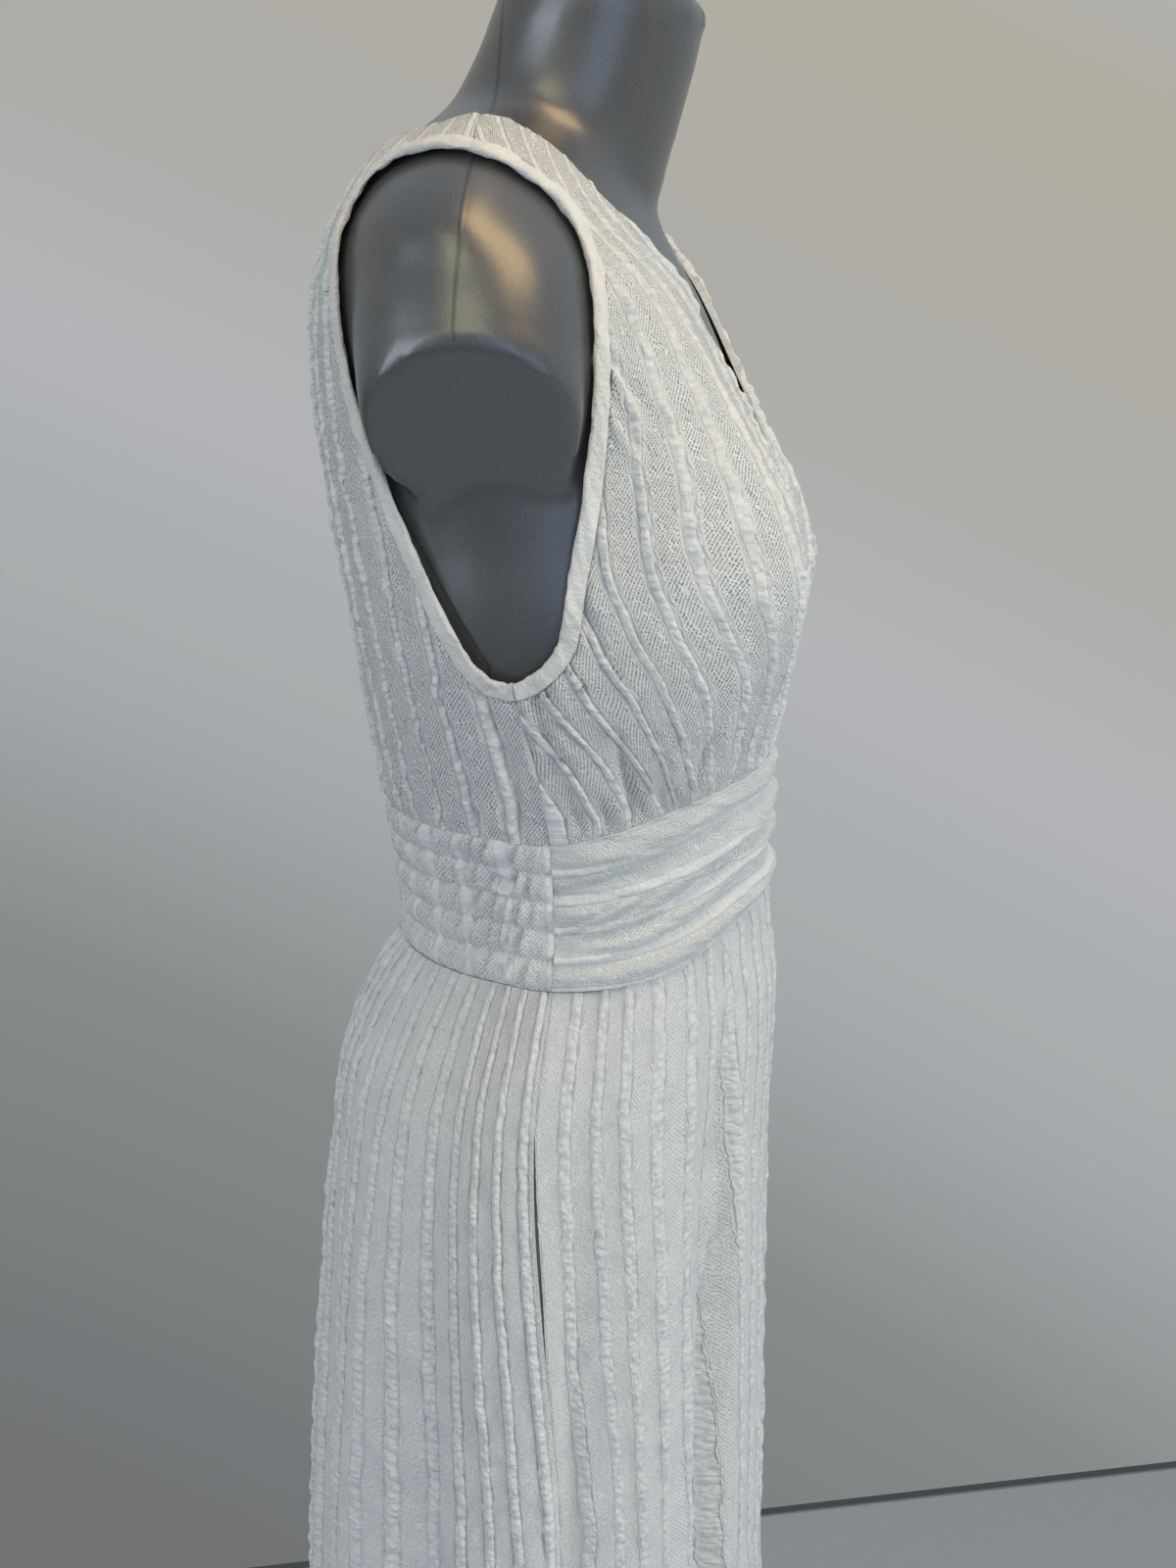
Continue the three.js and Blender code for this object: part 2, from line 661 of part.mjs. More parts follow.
// The whole back: the right half and its mirror image, joined along the centre back.
function bodiceBackGrids() {
  const right = bodiceHalfBackGrid();
  const left = right.map((row) => [...row].reverse().map(({ angle, z }) => ({ angle: 360 - angle, z })));
  return [right, left];
}

// Strip folded round the rim of the right armhole.
function bindingSections(sign) {
  const shares = [...frontShares, ...[...backShares].reverse().slice(1, -1)];
  const { width, depth } = BINDING;
  const outline = [
    [0.2, -depth / 2],
    [0.2, depth * 0.15],
    [1.8, depth / 2],
    [width - 1.4, depth / 2],
    [width - SEAM, depth * 0.2],
    [width - SEAM, -depth / 2],
  ];
  return shares.map((t) => {
    const away = awayFromArmhole(t);
    return outline.map(([out, up]) => {
      const place = moved(armholeRim(t), away.clone().multiplyScalar(out));
      const corner = raised(place, up - CLOTH / 2);
      corner.x *= sign;
      return corner;
    });
  });
}

// ---------------------------------------------------------------- waistband and skirt
function bandGrid(from, to, columns, rows) {
  const bottom = evenly((t) => bandBottom(THREE.MathUtils.lerp(from, to, t)), columns);
  const top = evenly((t) => bandTop(THREE.MathUtils.lerp(from, to, t)), columns);
  const left = evenly(along(bottom[0], top[0]), rows);
  const right = evenly(along(bottom[columns], top[columns]), rows);
  return trimmed(patch(bottom, right, top, left));
}

const SKIRT_COLUMNS = 30;
const SKIRT_ROWS = 11;

function sideSeam(z) {
  return column(SIDE_SEAM, 'z', 'angle', z);
}

// How far the skirt front stands back from the side seam where the pocket opens, as an angle.
function pocketGape(z) {
  const share = (z - POCKET_MOUTH.bottom) / (POCKET_MOUTH.top - POCKET_MOUTH.bottom);
  const gape = share > 0 && share < 1 ? POCKET_MOUTH.gape * Math.sin(Math.PI * share) : 0;
  return gape / (DEGREE * sectionAt(z).half);
}

// Heights come closer together near the waist, where the cloth swells over the hips. The edges at a
// height are the angles of the panel's first and last column there.
function skirtGrid(edges) {
  const waistEdges = edges(bandBottom(90).z);
  const grid = Array.from({ length: SKIRT_ROWS + 1 }, (_, row) => {
    const down = (1 - row / SKIRT_ROWS) ** 1.7;
    return between(0, 1, SKIRT_COLUMNS, (across) => {
      const waist = bandBottom(THREE.MathUtils.lerp(...waistEdges, across)).z;
      const z = THREE.MathUtils.lerp(waist, HEM_HEIGHT, down);
      return { angle: THREE.MathUtils.lerp(...edges(z), across), z };
    });
  });
  return trimmed(grid);
}

const skirtFrontEdges = (z) => [pocketGape(z) - sideSeam(z), sideSeam(z) - pocketGape(z)];
const skirtBackEdges = (z) => [sideSeam(z), 360 - sideSeam(z)];

// Flat pocket bag that hangs inside the right side seam of the skirt.
function pocketGrid(sign) {
  const rows = 7;
  const columns = 5;
  return between(POCKET.bottom, POCKET.top, rows, (z) => {
    const reach = POCKET.width * (z < POCKET_MOUTH.bottom ? 0.88 : 1);
    const turn = reach / (DEGREE * sectionAt(z).half * 0.95);
    const front = sideSeam(z) - turn * 0.8;
    const back = sideSeam(z) + turn * 0.2;
    return between(front, back, columns, (angle) => ({ angle: sign * angle, z }));
  });
}

// The bag hangs behind the skirt's inner face and doesn't follow the skirt's raised folds.
const behindSkirt = (place) => CLOTH + POCKET.clearance + Math.max(skirtRelief(place), 0);

// ---------------------------------------------------------------- the dress form
function solidFrom(geometry) {
  return new wasm.Manifold(
    new wasm.Mesh({
      numProp: 3,
      vertProperties: Float32Array.from(geometry.attributes.position.array),
      triVerts: Uint32Array.from(geometry.index.array),
    }),
  );
}

function geometryOf(solid) {
  const mesh = solid.getMesh();
  const geometry = new THREE.BufferGeometry();
  geometry.setAttribute('position', new THREE.Float32BufferAttribute(mesh.vertProperties, 3));
  geometry.setIndex(Array.from(mesh.triVerts));
  geometry.computeVertexNormals();
  return geometry;
}

const FORM_SIDES = 36;

function formTorso() {
  const turn = (index) => (360 * index) / FORM_SIDES;
  const rings = [];
  for (const { z, half, ridge, front, back } of [...FORM_HIPS].reverse()) {
    rings.push(
      Array.from({ length: FORM_SIDES }, (_, index) => {
        const ahead = Math.cos(turn(index) * DEGREE);
        const depth = ahead >= 0 ? ridge - front : back - ridge;
        return new THREE.Vector3(-half * Math.sin(turn(index) * DEGREE), ridge - depth * ahead, z);
      }),
    );
  }
  const heights = [1052, 1082, 1112, 1140, 1166, 1190, 1214, 1240, 1268, 1296, 1322, 1344, 1362, 1377];
  for (const z of [...heights, 1388, 1397, 1405, 1412, 1418]) {
    const gap = column(FORM_CLEARANCE, 'z', 'gap', z);
    rings.push(
      Array.from({ length: FORM_SIDES }, (_, index) => raised({ angle: turn(index), z }, -gap)),
    );
  }
  return loft(rings);
}

function formNeck() {
  const rings = NECK_RINGS.map(({ y, z, tilt, depth, half }) =>
    Array.from({ length: 28 }, (_, index) => {
      const turn = (index / 28) * 2 * Math.PI;
      const ahead = depth * Math.cos(turn);
      const lean = tilt * DEGREE;
      return new THREE.Vector3(half * Math.sin(turn), y - ahead * Math.cos(lean), z - ahead * Math.sin(lean));
    }),
  );
  return loft(rings);
}

function formStub(sign) {
  const rings = STUB_RINGS.map((ring, index) => {
    const before = STUB_RINGS[Math.max(index - 1, 0)];
    const after = STUB_RINGS[Math.min(index + 1, STUB_RINGS.length - 1)];
    const axis = new THREE.Vector2(after.x - before.x, after.z - before.z).normalize();
    return Array.from({ length: 24 }, (_, step) => {
      const turn = (step / 24) * 2 * Math.PI;
      const across = ring.across * Math.sin(turn);
      const x = ring.x + across * axis.y;
      return new THREE.Vector3(sign * x, ring.y + ring.depth * Math.cos(turn), ring.z - across * axis.x);
    });
  });
  return loft(rings);
}

function formGeometry() {
  const whole = solidFrom(formTorso())
    .add(solidFrom(formNeck()))
    .add(solidFrom(formStub(1)))
    .add(solidFrom(formStub(-1)));
  return geometryOf(whole);
}

// ---------------------------------------------------------------- the stand
function turned(profile, sides) {
  const points = profile.map(([radius, height]) => new THREE.Vector2(radius, height));
  const lathe = new THREE.LatheGeometry(points, sides);
  return lathe.rotateX(Math.PI / 2);
}

const standBase = turned(
  [
    [0, 0],
    [BASE.radius - 2, 0],
    [BASE.radius, 2],
    [BASE.radius - 1.5, BASE.edge],
    [POLE.radius + 22, BASE.middle],
    [0, BASE.middle],
  ],
  48,
);
const collarFoot = BASE.middle + 0.3;
const standCollar = turned(
  [
    [POLE.radius + 0.3, collarFoot],
    [POLE.radius + 16, collarFoot],
    [POLE.radius + 16, collarFoot + 6],
    [POLE.radius + 6, collarFoot + 24],
    [POLE.radius + 0.3, collarFoot + 24],
    [POLE.radius + 0.3, collarFoot],
  ],
  32,
);
const standPole = turned(
  [
    [0, collarFoot],
    [POLE.radius, collarFoot],
    [POLE.radius, POLE.top],
    [0, POLE.top],
  ],
  32,
);
const socketFoot = POLE.top + 0.3;
const formSocket = turned(
  [
    [0, socketFoot],
    [POLE.radius + 8, socketFoot],
    [SOCKET.radius, SOCKET.top - 8],
    [SOCKET.radius, SOCKET.top],
    [0, SOCKET.top],
  ],
  32,
);

// ---------------------------------------------------------------- the object
const fabric = (color) => new THREE.MeshStandardMaterial({ color, roughness: 0.92, metalness: 0 });
const materials = {
  bodice: fabric('#efebe2'),
  band: fabric('#f3efe6'),
  skirt: fabric('#ece8e0'),
  binding: fabric('#f1ede4'),
  pocket: fabric('#e4dfd6'),
  form: new THREE.MeshStandardMaterial({ color: '#74777c', roughness: 0.34, metalness: 0.25 }),
  metal: new THREE.MeshStandardMaterial({ color: '#b9bcc0', roughness: 0.25, metalness: 1 }),
  base: new THREE.MeshStandardMaterial({ color: '#8e9196', roughness: 0.4, metalness: 0.7 }),
};

const dress = new THREE.Group();

function add(name, geometry, material) {
  const mesh = new THREE.Mesh(geometry, material);
  mesh.name = name;
  dress.add(mesh);
}

const frontGrid = bodiceFrontGrid();
add('bodice_front_right', cloth([frontGrid], frontGatherRelief), materials.bodice);
add('bodice_front_left', cloth([mirrored(frontGrid)], frontGatherRelief), materials.bodice);
add('bodice_back', cloth(bodiceBackGrids(), flat), materials.bodice);
add('armhole_binding_right', closedTube(bindingSections(1)), materials.binding);
add('armhole_binding_left', closedTube(bindingSections(-1)), materials.binding);
add('waistband_front', cloth([bandGrid(-90, 90, 20, 11)], bandDrapeRelief), materials.band);
add('waistband_back', cloth([bandGrid(90, 270, 16, 10)], bandShirringRelief), materials.band);
add('skirt_front', cloth([skirtGrid(skirtFrontEdges)], skirtRelief), materials.skirt);
add('skirt_back', cloth([skirtGrid(skirtBackEdges)], skirtRelief), materials.skirt);
for (const [side, sign] of [['right', 1], ['left', -1]]) {
  const bag = cloth([pocketGrid(sign)], skirtRelief, behindSkirt, POCKET.depth);
  add(`pocket_bag_${side}`, bag, materials.pocket);
}
add('form_torso', formGeometry(), materials.form);
add('form_socket', formSocket, materials.metal);
add('stand_pole', standPole, materials.metal);
add('stand_collar', standCollar, materials.metal);
add('stand_base', standBase, materials.base);

export default dress;
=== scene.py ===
# %% [markdown]
# # A maxi dress on a dress form
# This lesson dresses a imported CAD model. The CAD solids are plain and faceted, and they say where
# everything is. Here each cloth solid is replaced by a thin, finely crinkled sheet of cloth that
# follows the same surface. The frame is loaded first.

import bmesh
import bpy
import numpy as np
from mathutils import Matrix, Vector


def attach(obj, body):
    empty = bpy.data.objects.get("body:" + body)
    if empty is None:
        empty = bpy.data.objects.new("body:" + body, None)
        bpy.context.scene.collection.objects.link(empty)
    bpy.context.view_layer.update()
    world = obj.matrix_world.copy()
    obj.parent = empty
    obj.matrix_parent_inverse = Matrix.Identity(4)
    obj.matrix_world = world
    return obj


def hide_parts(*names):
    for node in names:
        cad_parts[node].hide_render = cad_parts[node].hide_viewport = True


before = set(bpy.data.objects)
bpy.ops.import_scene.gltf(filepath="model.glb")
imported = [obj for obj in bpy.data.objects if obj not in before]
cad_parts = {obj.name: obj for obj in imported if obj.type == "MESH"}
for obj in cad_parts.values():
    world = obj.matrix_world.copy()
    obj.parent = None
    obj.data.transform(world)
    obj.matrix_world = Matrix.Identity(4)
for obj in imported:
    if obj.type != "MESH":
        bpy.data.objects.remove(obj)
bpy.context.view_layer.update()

# %% [markdown]
# ## Lengths, tables and soft steps
# All lengths in the tables are millimetres, as a dressmaker would write them, and only the
# finished mesh is turned into metres. The front faces -Y, the wearer's left side is +X. An angle
# turns from the centre front (0) over the wearer's right side (90) to the centre back (180).
# `smooth` is a soft step and `bell` a soft bump. `table` gives short tables named columns, and
# `read` draws a smooth curve through one of those columns.

# %% Tables and soft steps
MM = 0.001
DEGREE = np.pi / 180


def smooth(low, high, value):
    share = np.clip((value - low) / (high - low), 0, 1)
    return share * share * (3 - 2 * share)


def mix(first, second, share):
    return first + (second - first) * share


def bell(distance, spread):
    return np.exp(-((distance / spread) ** 2))


def table(names, *rows):
    return dict(zip(names.split(), np.array(rows, float).T))


def rows_of(named):
    """The rows of a table, each as a dictionary."""
    return [dict(zip(named, row)) for row in zip(*named.values())]


def hermite(t, start, start_slope, end, end_slope):
    """Smooth curve from start to end as t goes from 0 to 1."""
    return (
        (2 * t**3 - 3 * t**2 + 1) * start
        + (t**3 - 2 * t**2 + t) * start_slope
        + (3 * t**2 - 2 * t**3) * end
        + (t**3 - t**2) * end_slope
    )


def read(named, by, key, at):
    """Smooth values of column `key`, where column `by` has the values `at`."""
    x, y = named[by], named[key]
    if x[0] > x[-1]:
        x, y = x[::-1], y[::-1]
    before, after = np.r_[0, : len(x) - 1], np.r_[1 : len(x), len(x) - 1]
    slope = (y[after] - y[before]) / (x[after] - x[before])
    at = np.clip(at, x[0], x[-1])
    low = np.clip(np.searchsorted(x, at, side="right") - 1, 0, len(x) - 2)
    span = x[low + 1] - x[low]
    t = (at - x[low]) / span
    return hermite(t, y[low], span * slope[low], y[low + 1], span * slope[low + 1])


# %% [markdown]
# ## The surface that the cloth lies on
# A dressmaker's form is measured in level sections. Each row gives the half width, the depth at
# which the section is widest (ridge), its front and its back, and how square each half is, where
# 2 is an ellipse. Two soft mounds stand on the chest. `skin` turns an angle and a height into a
# point, and `raised` moves it off the surface along the normal. Every crease below is such a
# move.

# %% Sections of the dress
SECTIONS = table(
    "z half ridge front back front_power back_power",
    (60, 232, 16, -126, 162, 2, 2),
    (300, 216, 19, -116, 158, 2, 2),
    (576, 199, 21, -107, 154, 2, 2),
    (690, 191, 19, -106, 150, 2, 2),
    (790, 182, 15, -106, 142, 2, 2),
    (838, 176, 13, -106, 138, 2, 2),
    (880, 168, 11, -106, 133, 2, 2),
    (915, 158, 8, -107.5, 129, 2, 2),
    (938, 149, 5, -108.5, 121, 2, 2),
    (962, 136, 1, -108, 108, 2, 2),
    (986, 124, -3, -104, 94, 2, 2),
    (1022, 121, -3, -102, 95, 2, 2),
    (1058, 126, -2, -103, 102, 2, 2),
    (1080, 132, 0, -104, 106, 2.05, 2),
    (1110, 141, 6, -109, 111, 2.1, 2),
    (1143, 150, 12, -111, 115, 2.2, 2),
    (1175, 152, 15, -110, 120, 2.3, 2.05),
    (1205, 151, 18, -108, 125, 2.3, 2.1),
    (1240, 153, 22, -100, 130, 2.2, 2.1),
    (1279, 159, 27, -85, 133, 2.05, 2.1),
    (1320, 167, 31, -67, 131, 1.88, 2.1),
    (1350, 165, 34, -50, 123, 1.66, 2.15),
    (1370, 150, 36, -43, 113, 1.5, 2.2),
    (1389, 125, 37, -41, 100, 1.38, 2.2),
    (1400, 101, 38, -42, 88, 1.35, 2),
    (1411, 75, 38, -44, 74, 1.38, 1.8),
    (1420, 52, 38, -46, 64, 1.45, 1.6),
)
BUST = {"x": 75, "z": 1180, "height": 22, "spread_x": 46, "spread_z": 62}


def section_at(z):
    return {name: read(SECTIONS, "z", name, z) for name in SECTIONS if name != "z"}


def skin(angle, z):
    """Points of the outer face of the cloth, one row of x, y, z for each place."""
    section = section_at(z)
    side, ahead = np.sin(angle * DEGREE), np.cos(angle * DEGREE)
    in_front = ahead >= 0
    power = np.where(in_front, section["front_power"], section["back_power"])
    front_depth = section["ridge"] - section["front"]
    depth = np.where(in_front, front_depth, section["back"] - section["ridge"])
    length = (np.abs(side) ** power + np.abs(ahead) ** power) ** (1 / power)
    x = -section["half"] * side / length
    mound = BUST["height"] * bell(np.abs(x) - BUST["x"], BUST["spread_x"])
    mound = mound * bell(z - BUST["z"], BUST["spread_z"]) * smooth(0, 0.5, ahead)
    return np.stack([x, section["ridge"] - depth * ahead / length - mound, z + 0 * x], -1)


def tangents(angle, z):
    """How a point moves for one degree round, for one millimetre up, and the way out."""
    around = skin(angle + 0.5, z) - skin(angle - 0.5, z)
    up = skin(angle, z + 0.5) - skin(angle, z - 0.5)
    normal = np.cross(up, around)
    return around, up, normal / np.linalg.norm(normal, axis=-1, keepdims=True)


def raised(angle, z, distance):
    return skin(angle, z) + tangents(angle, z)[2] * np.asarray(distance)[..., None]


def per_degree(angle, z):
    """Millimetres of cloth for one degree round the body."""
    return np.linalg.norm(tangents(angle, z)[0], axis=-1)


print("waist, side to side:", 2 * -skin(np.array([90.0]), np.array([1022.0]))[0, 0], "mm")

# %% [markdown]
# ## Places along an edge
# The pieces meet along the edges of a paper pattern: neckline, armhole, side seam and waistband.
# A place is an angle and a height. `evenly` spaces places by real length of cloth, and `moved`
# walks a given distance over the surface, which is how the strip round the armhole keeps its
# width.

# %% Walk over the surface


def place_at_width(x, z):
    """Place on the front at a distance x from the centre line."""
    section = section_at(z)
    side = np.abs(x) / section["half"]
    power = section["front_power"]
    ahead = np.clip(1 - side**power, 0, 1) ** (1 / power)
    return np.arctan2(side, ahead) / DEGREE, z


def place_at_depth(y, z):
    """Place on the wearer's right at a depth y in side view."""
    section = section_at(z)
    in_front = y < section["ridge"]
    power = np.where(in_front, section["front_power"], section["back_power"])
    front_share = (section["ridge"] - y) / (section["ridge"] - section["front"])
    back_share = (y - section["ridge"]) / (section["back"] - section["ridge"])
    ahead = np.abs(np.where(in_front, front_share, back_share))
    side = np.clip(1 - ahead**power, 0, 1) ** (1 / power)
    return np.arctan2(side, np.where(in_front, ahead, -ahead)) / DEGREE, z


def moved(angle, z, move):
    """Place reached by a move along the surface, taken in short steps."""
    steps = 6
    for _ in range(steps):
        around, up, _ = tangents(angle, z)
        a, b, c = ((p * q).sum(-1) for p, q in ((around, around), (around, up), (up, up)))
        p, q = (around * move).sum(-1) / steps, (up * move).sum(-1) / steps
        scale = a * c - b * b
        angle, z = angle + (c * p - b * q) / scale, z + (a * q - b * p) / scale
    return angle, z


def evenly(path, shares):
    """Places at given shares of the real length of a path, which is a function of 0 to 1."""
    angle, z = path(np.linspace(0, 1, 400))
    steps = np.linalg.norm(np.diff(skin(angle, z), axis=0), axis=1)
    length = np.append(0, np.cumsum(steps))
    at = np.clip(shares, 0, 1) * length[-1]
    return np.interp(at, length, angle), np.interp(at, length, z)


def straight(start, end):
    return lambda t: (mix(start[0], end[0], t), mix(start[1], end[1], t))


def through(points, t, closed=False):
    """Catmull-Rom curve through points, for t from 0 to 1."""
    points = np.asarray(points, float)
    count = len(points)
    at = np.asarray(t) % 1 * count if closed else np.clip(t, 0, 1) * (count - 1)
    low = np.floor(at).astype(int) if closed else np.clip(at.astype(int), 0, count - 2)
    wrap = (lambda i: i % count) if closed else (lambda i: np.clip(i, 0, count - 1))
    p0, p1, p2, p3 = (points[wrap(low + step)] for step in (-1, 0, 1, 2))
    return hermite((at - low)[..., None], p1, (p2 - p0) / 2, p2, (p3 - p1) / 2)


# %% [markdown]
# ## The edges of this dress
# The neckline is given as it stands in front view and the armhole as it stands in side view,
# since that is how each one is judged. The waistband is highest at the centre front, and the side
# seam of the skirt swings forward on its way down.

# %% Neckline, armhole, waistband and side seam
HEM_HEIGHT = 62
SEAM = 0.24  # gap between the pieces of a seam
CLOTH = 1.6  # thickness of a piece
V_POINT = 1166
BACK_NECK = 1397
UNDERARM = 1143
SHOULDER_TOP = (82, 1408)
BINDING_WIDTH = 9.5
NECKLINE = [(0, V_POINT), (14, 1215), (27, 1262), (39, 1300), (47, 1330), (58, 1349)]
NECKLINE += [(73, 1363), (84, 1380), (86, 1396), SHOULDER_TOP]
ARMHOLE_FRONT = [(-7, 1159), (-12, 1185), (-21, 1240), (-25, 1295), (-20, 1340), (0, 1371)]
ARMHOLE_BACK = [(72, 1386), (93, 1366), (99, 1335), (94, 1290), (78, 1243), (53, 1190)]
ARMHOLE_BACK += [(32, 1153)]
RIDGE_LOW, RIDGE_HIGH = (float(read(SECTIONS, "z", "ridge", z)) for z in (UNDERARM, 1390))
ARMHOLE = [(RIDGE_LOW, UNDERARM), *ARMHOLE_FRONT, (RIDGE_HIGH, 1390), *ARMHOLE_BACK]
ARMHOLE_TOP = (len(ARMHOLE_FRONT) + 1) / len(ARMHOLE)
BAND_EDGES = table(
    "angle top bottom",
    (0, 1082, 1010),
    (30, 1080, 1003),
    (52, 1073, 990),
    (68, 1065, 984),
    (90, 1057, 982),
    (110, 1059, 984),
    (145, 1058, 984),
    (180, 1055, 982),
)
SIDE_SEAM = table("z angle", (982, 90), (915, 87), (802, 80), (703, 74), (400, 68), (62, 66))


def neck_path(t):
    x, z = through(NECKLINE, t).T
    return place_at_width(x, z)


def armhole_rim(t):
    y, z = np.moveaxis(through(ARMHOLE, t, closed=True), -1, 0)
    return place_at_depth(y, z)


def away_from_armhole(t):
    """Direction on the surface that leads away from the middle of the armhole."""
    along = skin(*armhole_rim(t + 0.004)) - skin(*armhole_rim(t - 0.004))
    away = np.cross(along, tangents(*armhole_rim(t))[2])
    return away / np.linalg.norm(away, axis=-1, keepdims=True)


def armhole_seam(t):
    return moved(*armhole_rim(t), away_from_armhole(t) * BINDING_WIDTH)


def band_edge(edge, angle):
    turned = np.abs((angle + 540) % 360 - 180)
    return read(BAND_EDGES, "angle", edge, turned)


def band_top(angle):
    return angle, band_edge("top", angle)


def band_bottom(angle):
    return angle, band_edge("bottom", angle)


def one(places):
    """The first of some places, as two plain numbers."""
    return float(np.ravel(places[0])[0]), float(np.ravel(places[1])[0])


underarm_seam = one(armhole_seam(np.array([0.0])))
shoulder_outer = one(armhole_seam(np.array([ARMHOLE_TOP])))
shoulder_inner = one(place_at_width(*np.array(SHOULDER_TOP, float)[:, None]))
side_top = one(band_top(np.array([90.0])))
print("angle and height: underarm", underarm_seam, "shoulder", shoulder_outer, shoulder_inner)

# %% [markdown]
# ## Controlled irregularity
# Real crinkles never repeat. `ripple` is smooth noise along one line and `crinkle` over a sheet.
# Both come from a seeded generator, so each run gives the same cloth.

# %% Seeded noise
RIPPLES = np.random.default_rng(20).uniform(-1, 1, (64, 4096))
CRINKLES = np.random.default_rng(21).uniform(-1, 1, (8, 512, 512))


def ripple(at, which=0):
    """Smooth noise from -1 to 1 along a line; `which` picks a line, and may be an array."""
    low = np.floor(at).astype(int)
    share = smooth(0, 1, at - low)
    line = np.asarray(which).astype(int) % len(RIPPLES)
    return mix(RIPPLES[line, low % 4096], RIPPLES[line, (low + 1) % 4096], share)


def crinkle(x, y, sheet=0):
    """Smooth noise from -1 to 1 over a plane."""
    column, row = np.floor(x).astype(int), np.floor(y).astype(int)
    across, along = smooth(0, 1, x - column), smooth(0, 1, y - row)
    field = CRINKLES[sheet]
    near = mix(field[row % 512, column % 512], field[row % 512, (column + 1) % 512], across)
    row = row + 1
    far = mix(field[row % 512, column % 512], field[row % 512, (column + 1) % 512], across)
    return mix(near, far, along)


# %% [markdown]
# ## The puckered stripe
# The cloth is woven in stripes, one about every 24 mm: a loose ribbon of cloth that the loom lets
# buckle into small puffs, then a flat band of open basket weave between two bands of fine pleats.
# The ribbon is the only part high enough to model. It swells and narrows, wanders a little, and
# has a groove along each side, deeper along one, where the flat cloth is drawn in. `lean` tips
# it, so that one of its edges stands higher. Between two ribbons the cloth also rises or sinks a
# little, and never evenly.

# %% Puckered ribbon
STRIPE = 24.0


def wander(stripe, along):
    """How far a ribbon strays from its line, in stripes."""
    return 0.034 * ripple(along / 11, stripe) + 0.026 * ripple(along / 47, stripe + 9)


def strayed(count, along):
    """The count of stripes after each ribbon has strayed, smooth between two ribbons."""
    low = np.floor(count)
    share = smooth(0.25, 0.75, count - low)
    return count + 1.5 * mix(wander(low, along), wander(low + 1, along), share)


def pucker(off, along, stripe, height, puff, lean=0.0):
    """Height of a ribbon. `off` runs from -1 to 1 across it, and `puff` is the length of a puff."""
    swell = 1 + 0.36 * ripple(along / 4.5, stripe + 17) + 0.24 * ripple(along / 31, stripe + 5)
    across = np.clip(1 - np.abs(off / swell) ** 3, 0, 1) ** 0.6
    knots = crinkle(0.8 * off + 7.3 * stripe, 2 * along / puff, 7)
    tall = 1 + 0.28 * ripple(along / 19, stripe + 25)
    groove = 1.5 * bell(off + 1.35, 0.32) + 0.5 * bell(off - 1.4, 0.3)
    return height * (across * (0.72 + 0.5 * knots + lean * off) * tall - 0.3 * groove)


def sway(count, along, amount):
    """The cloth between two ribbons rises or sinks, each stretch in its own way."""
    low = np.floor(count)
    return amount * ripple(along / 64, 3 * low + 44) * np.sin(np.pi * (count - low)) ** 2


# %% [markdown]
# ## Creases
# A crease or a drape is one row of a table: where it starts and ends, how far it bows sideways,
# how high it stands (or how deep it sinks), and how wide it is. It has its full depth where it
# starts, at the seam that holds it, and dies away towards its end. A gather that is free at both
# ends is marked so.

# %% Crease function
CREASE_COLUMNS = "angle z to_angle to_z bow rise spread free"


def creases(named, angle, z):
    """Summed height of a table of creases."""
    total = np.zeros_like(z)
    for row in rows_of(named):
        middle = np.mean([row["angle"], row["to_angle"]]), np.mean([row["z"], row["to_z"]])
        mm = float(per_degree(*(np.array([value]) for value in middle))[0])
        x, y = (angle - row["angle"]) * mm, z - row["z"]
        dx, dy = (row["to_angle"] - row["angle"]) * mm, row["to_z"] - row["z"]
        length = np.hypot(dx, dy)
        t = np.clip((x * dx + y * dy) / length**2, 0, 1)
        bow = row["bow"] * 4 * t * (1 - t)
        across = np.hypot(x - t * dx + bow * dy / length, y - t * dy - bow * dx / length)
        fade = (1 - smooth(0.4, 1, t)) * mix(1, smooth(0, 0.35, t), row["free"])
        total += row["rise"] * fade * bell(across, row["spread"])
    return total


# %% [markdown]
# ## One sheet of cloth
# Every cloth piece is two grids: a fine one for the outer face and a coarse one for the inner
# face, a cloth's thickness below it. Their borders are joined by `bridge_loops`, so the piece is
# a closed thin shell, and nearly all of its triangles are on the side that is seen. The joint is
# marked sharp, so that the rim does not darken the face beside it. Solidify would also make the
# wall, but it would double every puff on the hidden side. The grid's own flat coordinates say
# where each vertex is on the pattern, and a function moves it to its place on the body. The UV
# map holds the cloth's own coordinates in metres: across the stripes, and along them.

# %% Make one grid
BODY_Y = 0.01


def put(name, data):
    """Makes an object and puts it into the scene."""
    made = bpy.data.objects.new(name, data)
    bpy.context.scene.collection.objects.link(made)
    return made


def grid_shares(vertices):
    corners = np.array([v.co[:2] for v in vertices]) + 0.5
    return corners[:, 0], corners[:, 1]


def add_grid(bm, columns, rows, shape):
    """Adds a grid whose flat shares are moved by `shape`, and returns its vertices."""
    made = bmesh.ops.create_grid(bm, x_segments=columns, y_segments=rows, size=0.5)["verts"]
    u, v = grid_shares(made)
    points, cloth_place = shape(np.rint(u * columns) / columns, np.rint(v * rows) / rows)
    stripe_x, stripe_y = (bm.verts.layers.float[name] for name in ("across", "along"))
    for vertex, point, place in zip(made, points * MM, cloth_place * MM):
        vertex.co = point
        vertex[stripe_x], vertex[stripe_y] = place
    return made


def outward(bm, faces):
    """Turns the faces so that they look away from the body's upright axis on the whole."""
    total = 0.0
    for face in faces:
        middle = face.calc_center_median()
        total += face.normal.dot(Vector((middle.x, middle.y - BODY_Y, 0))) * face.calc_area()
    if total < 0:
        bmesh.ops.reverse_faces(bm, faces=faces)


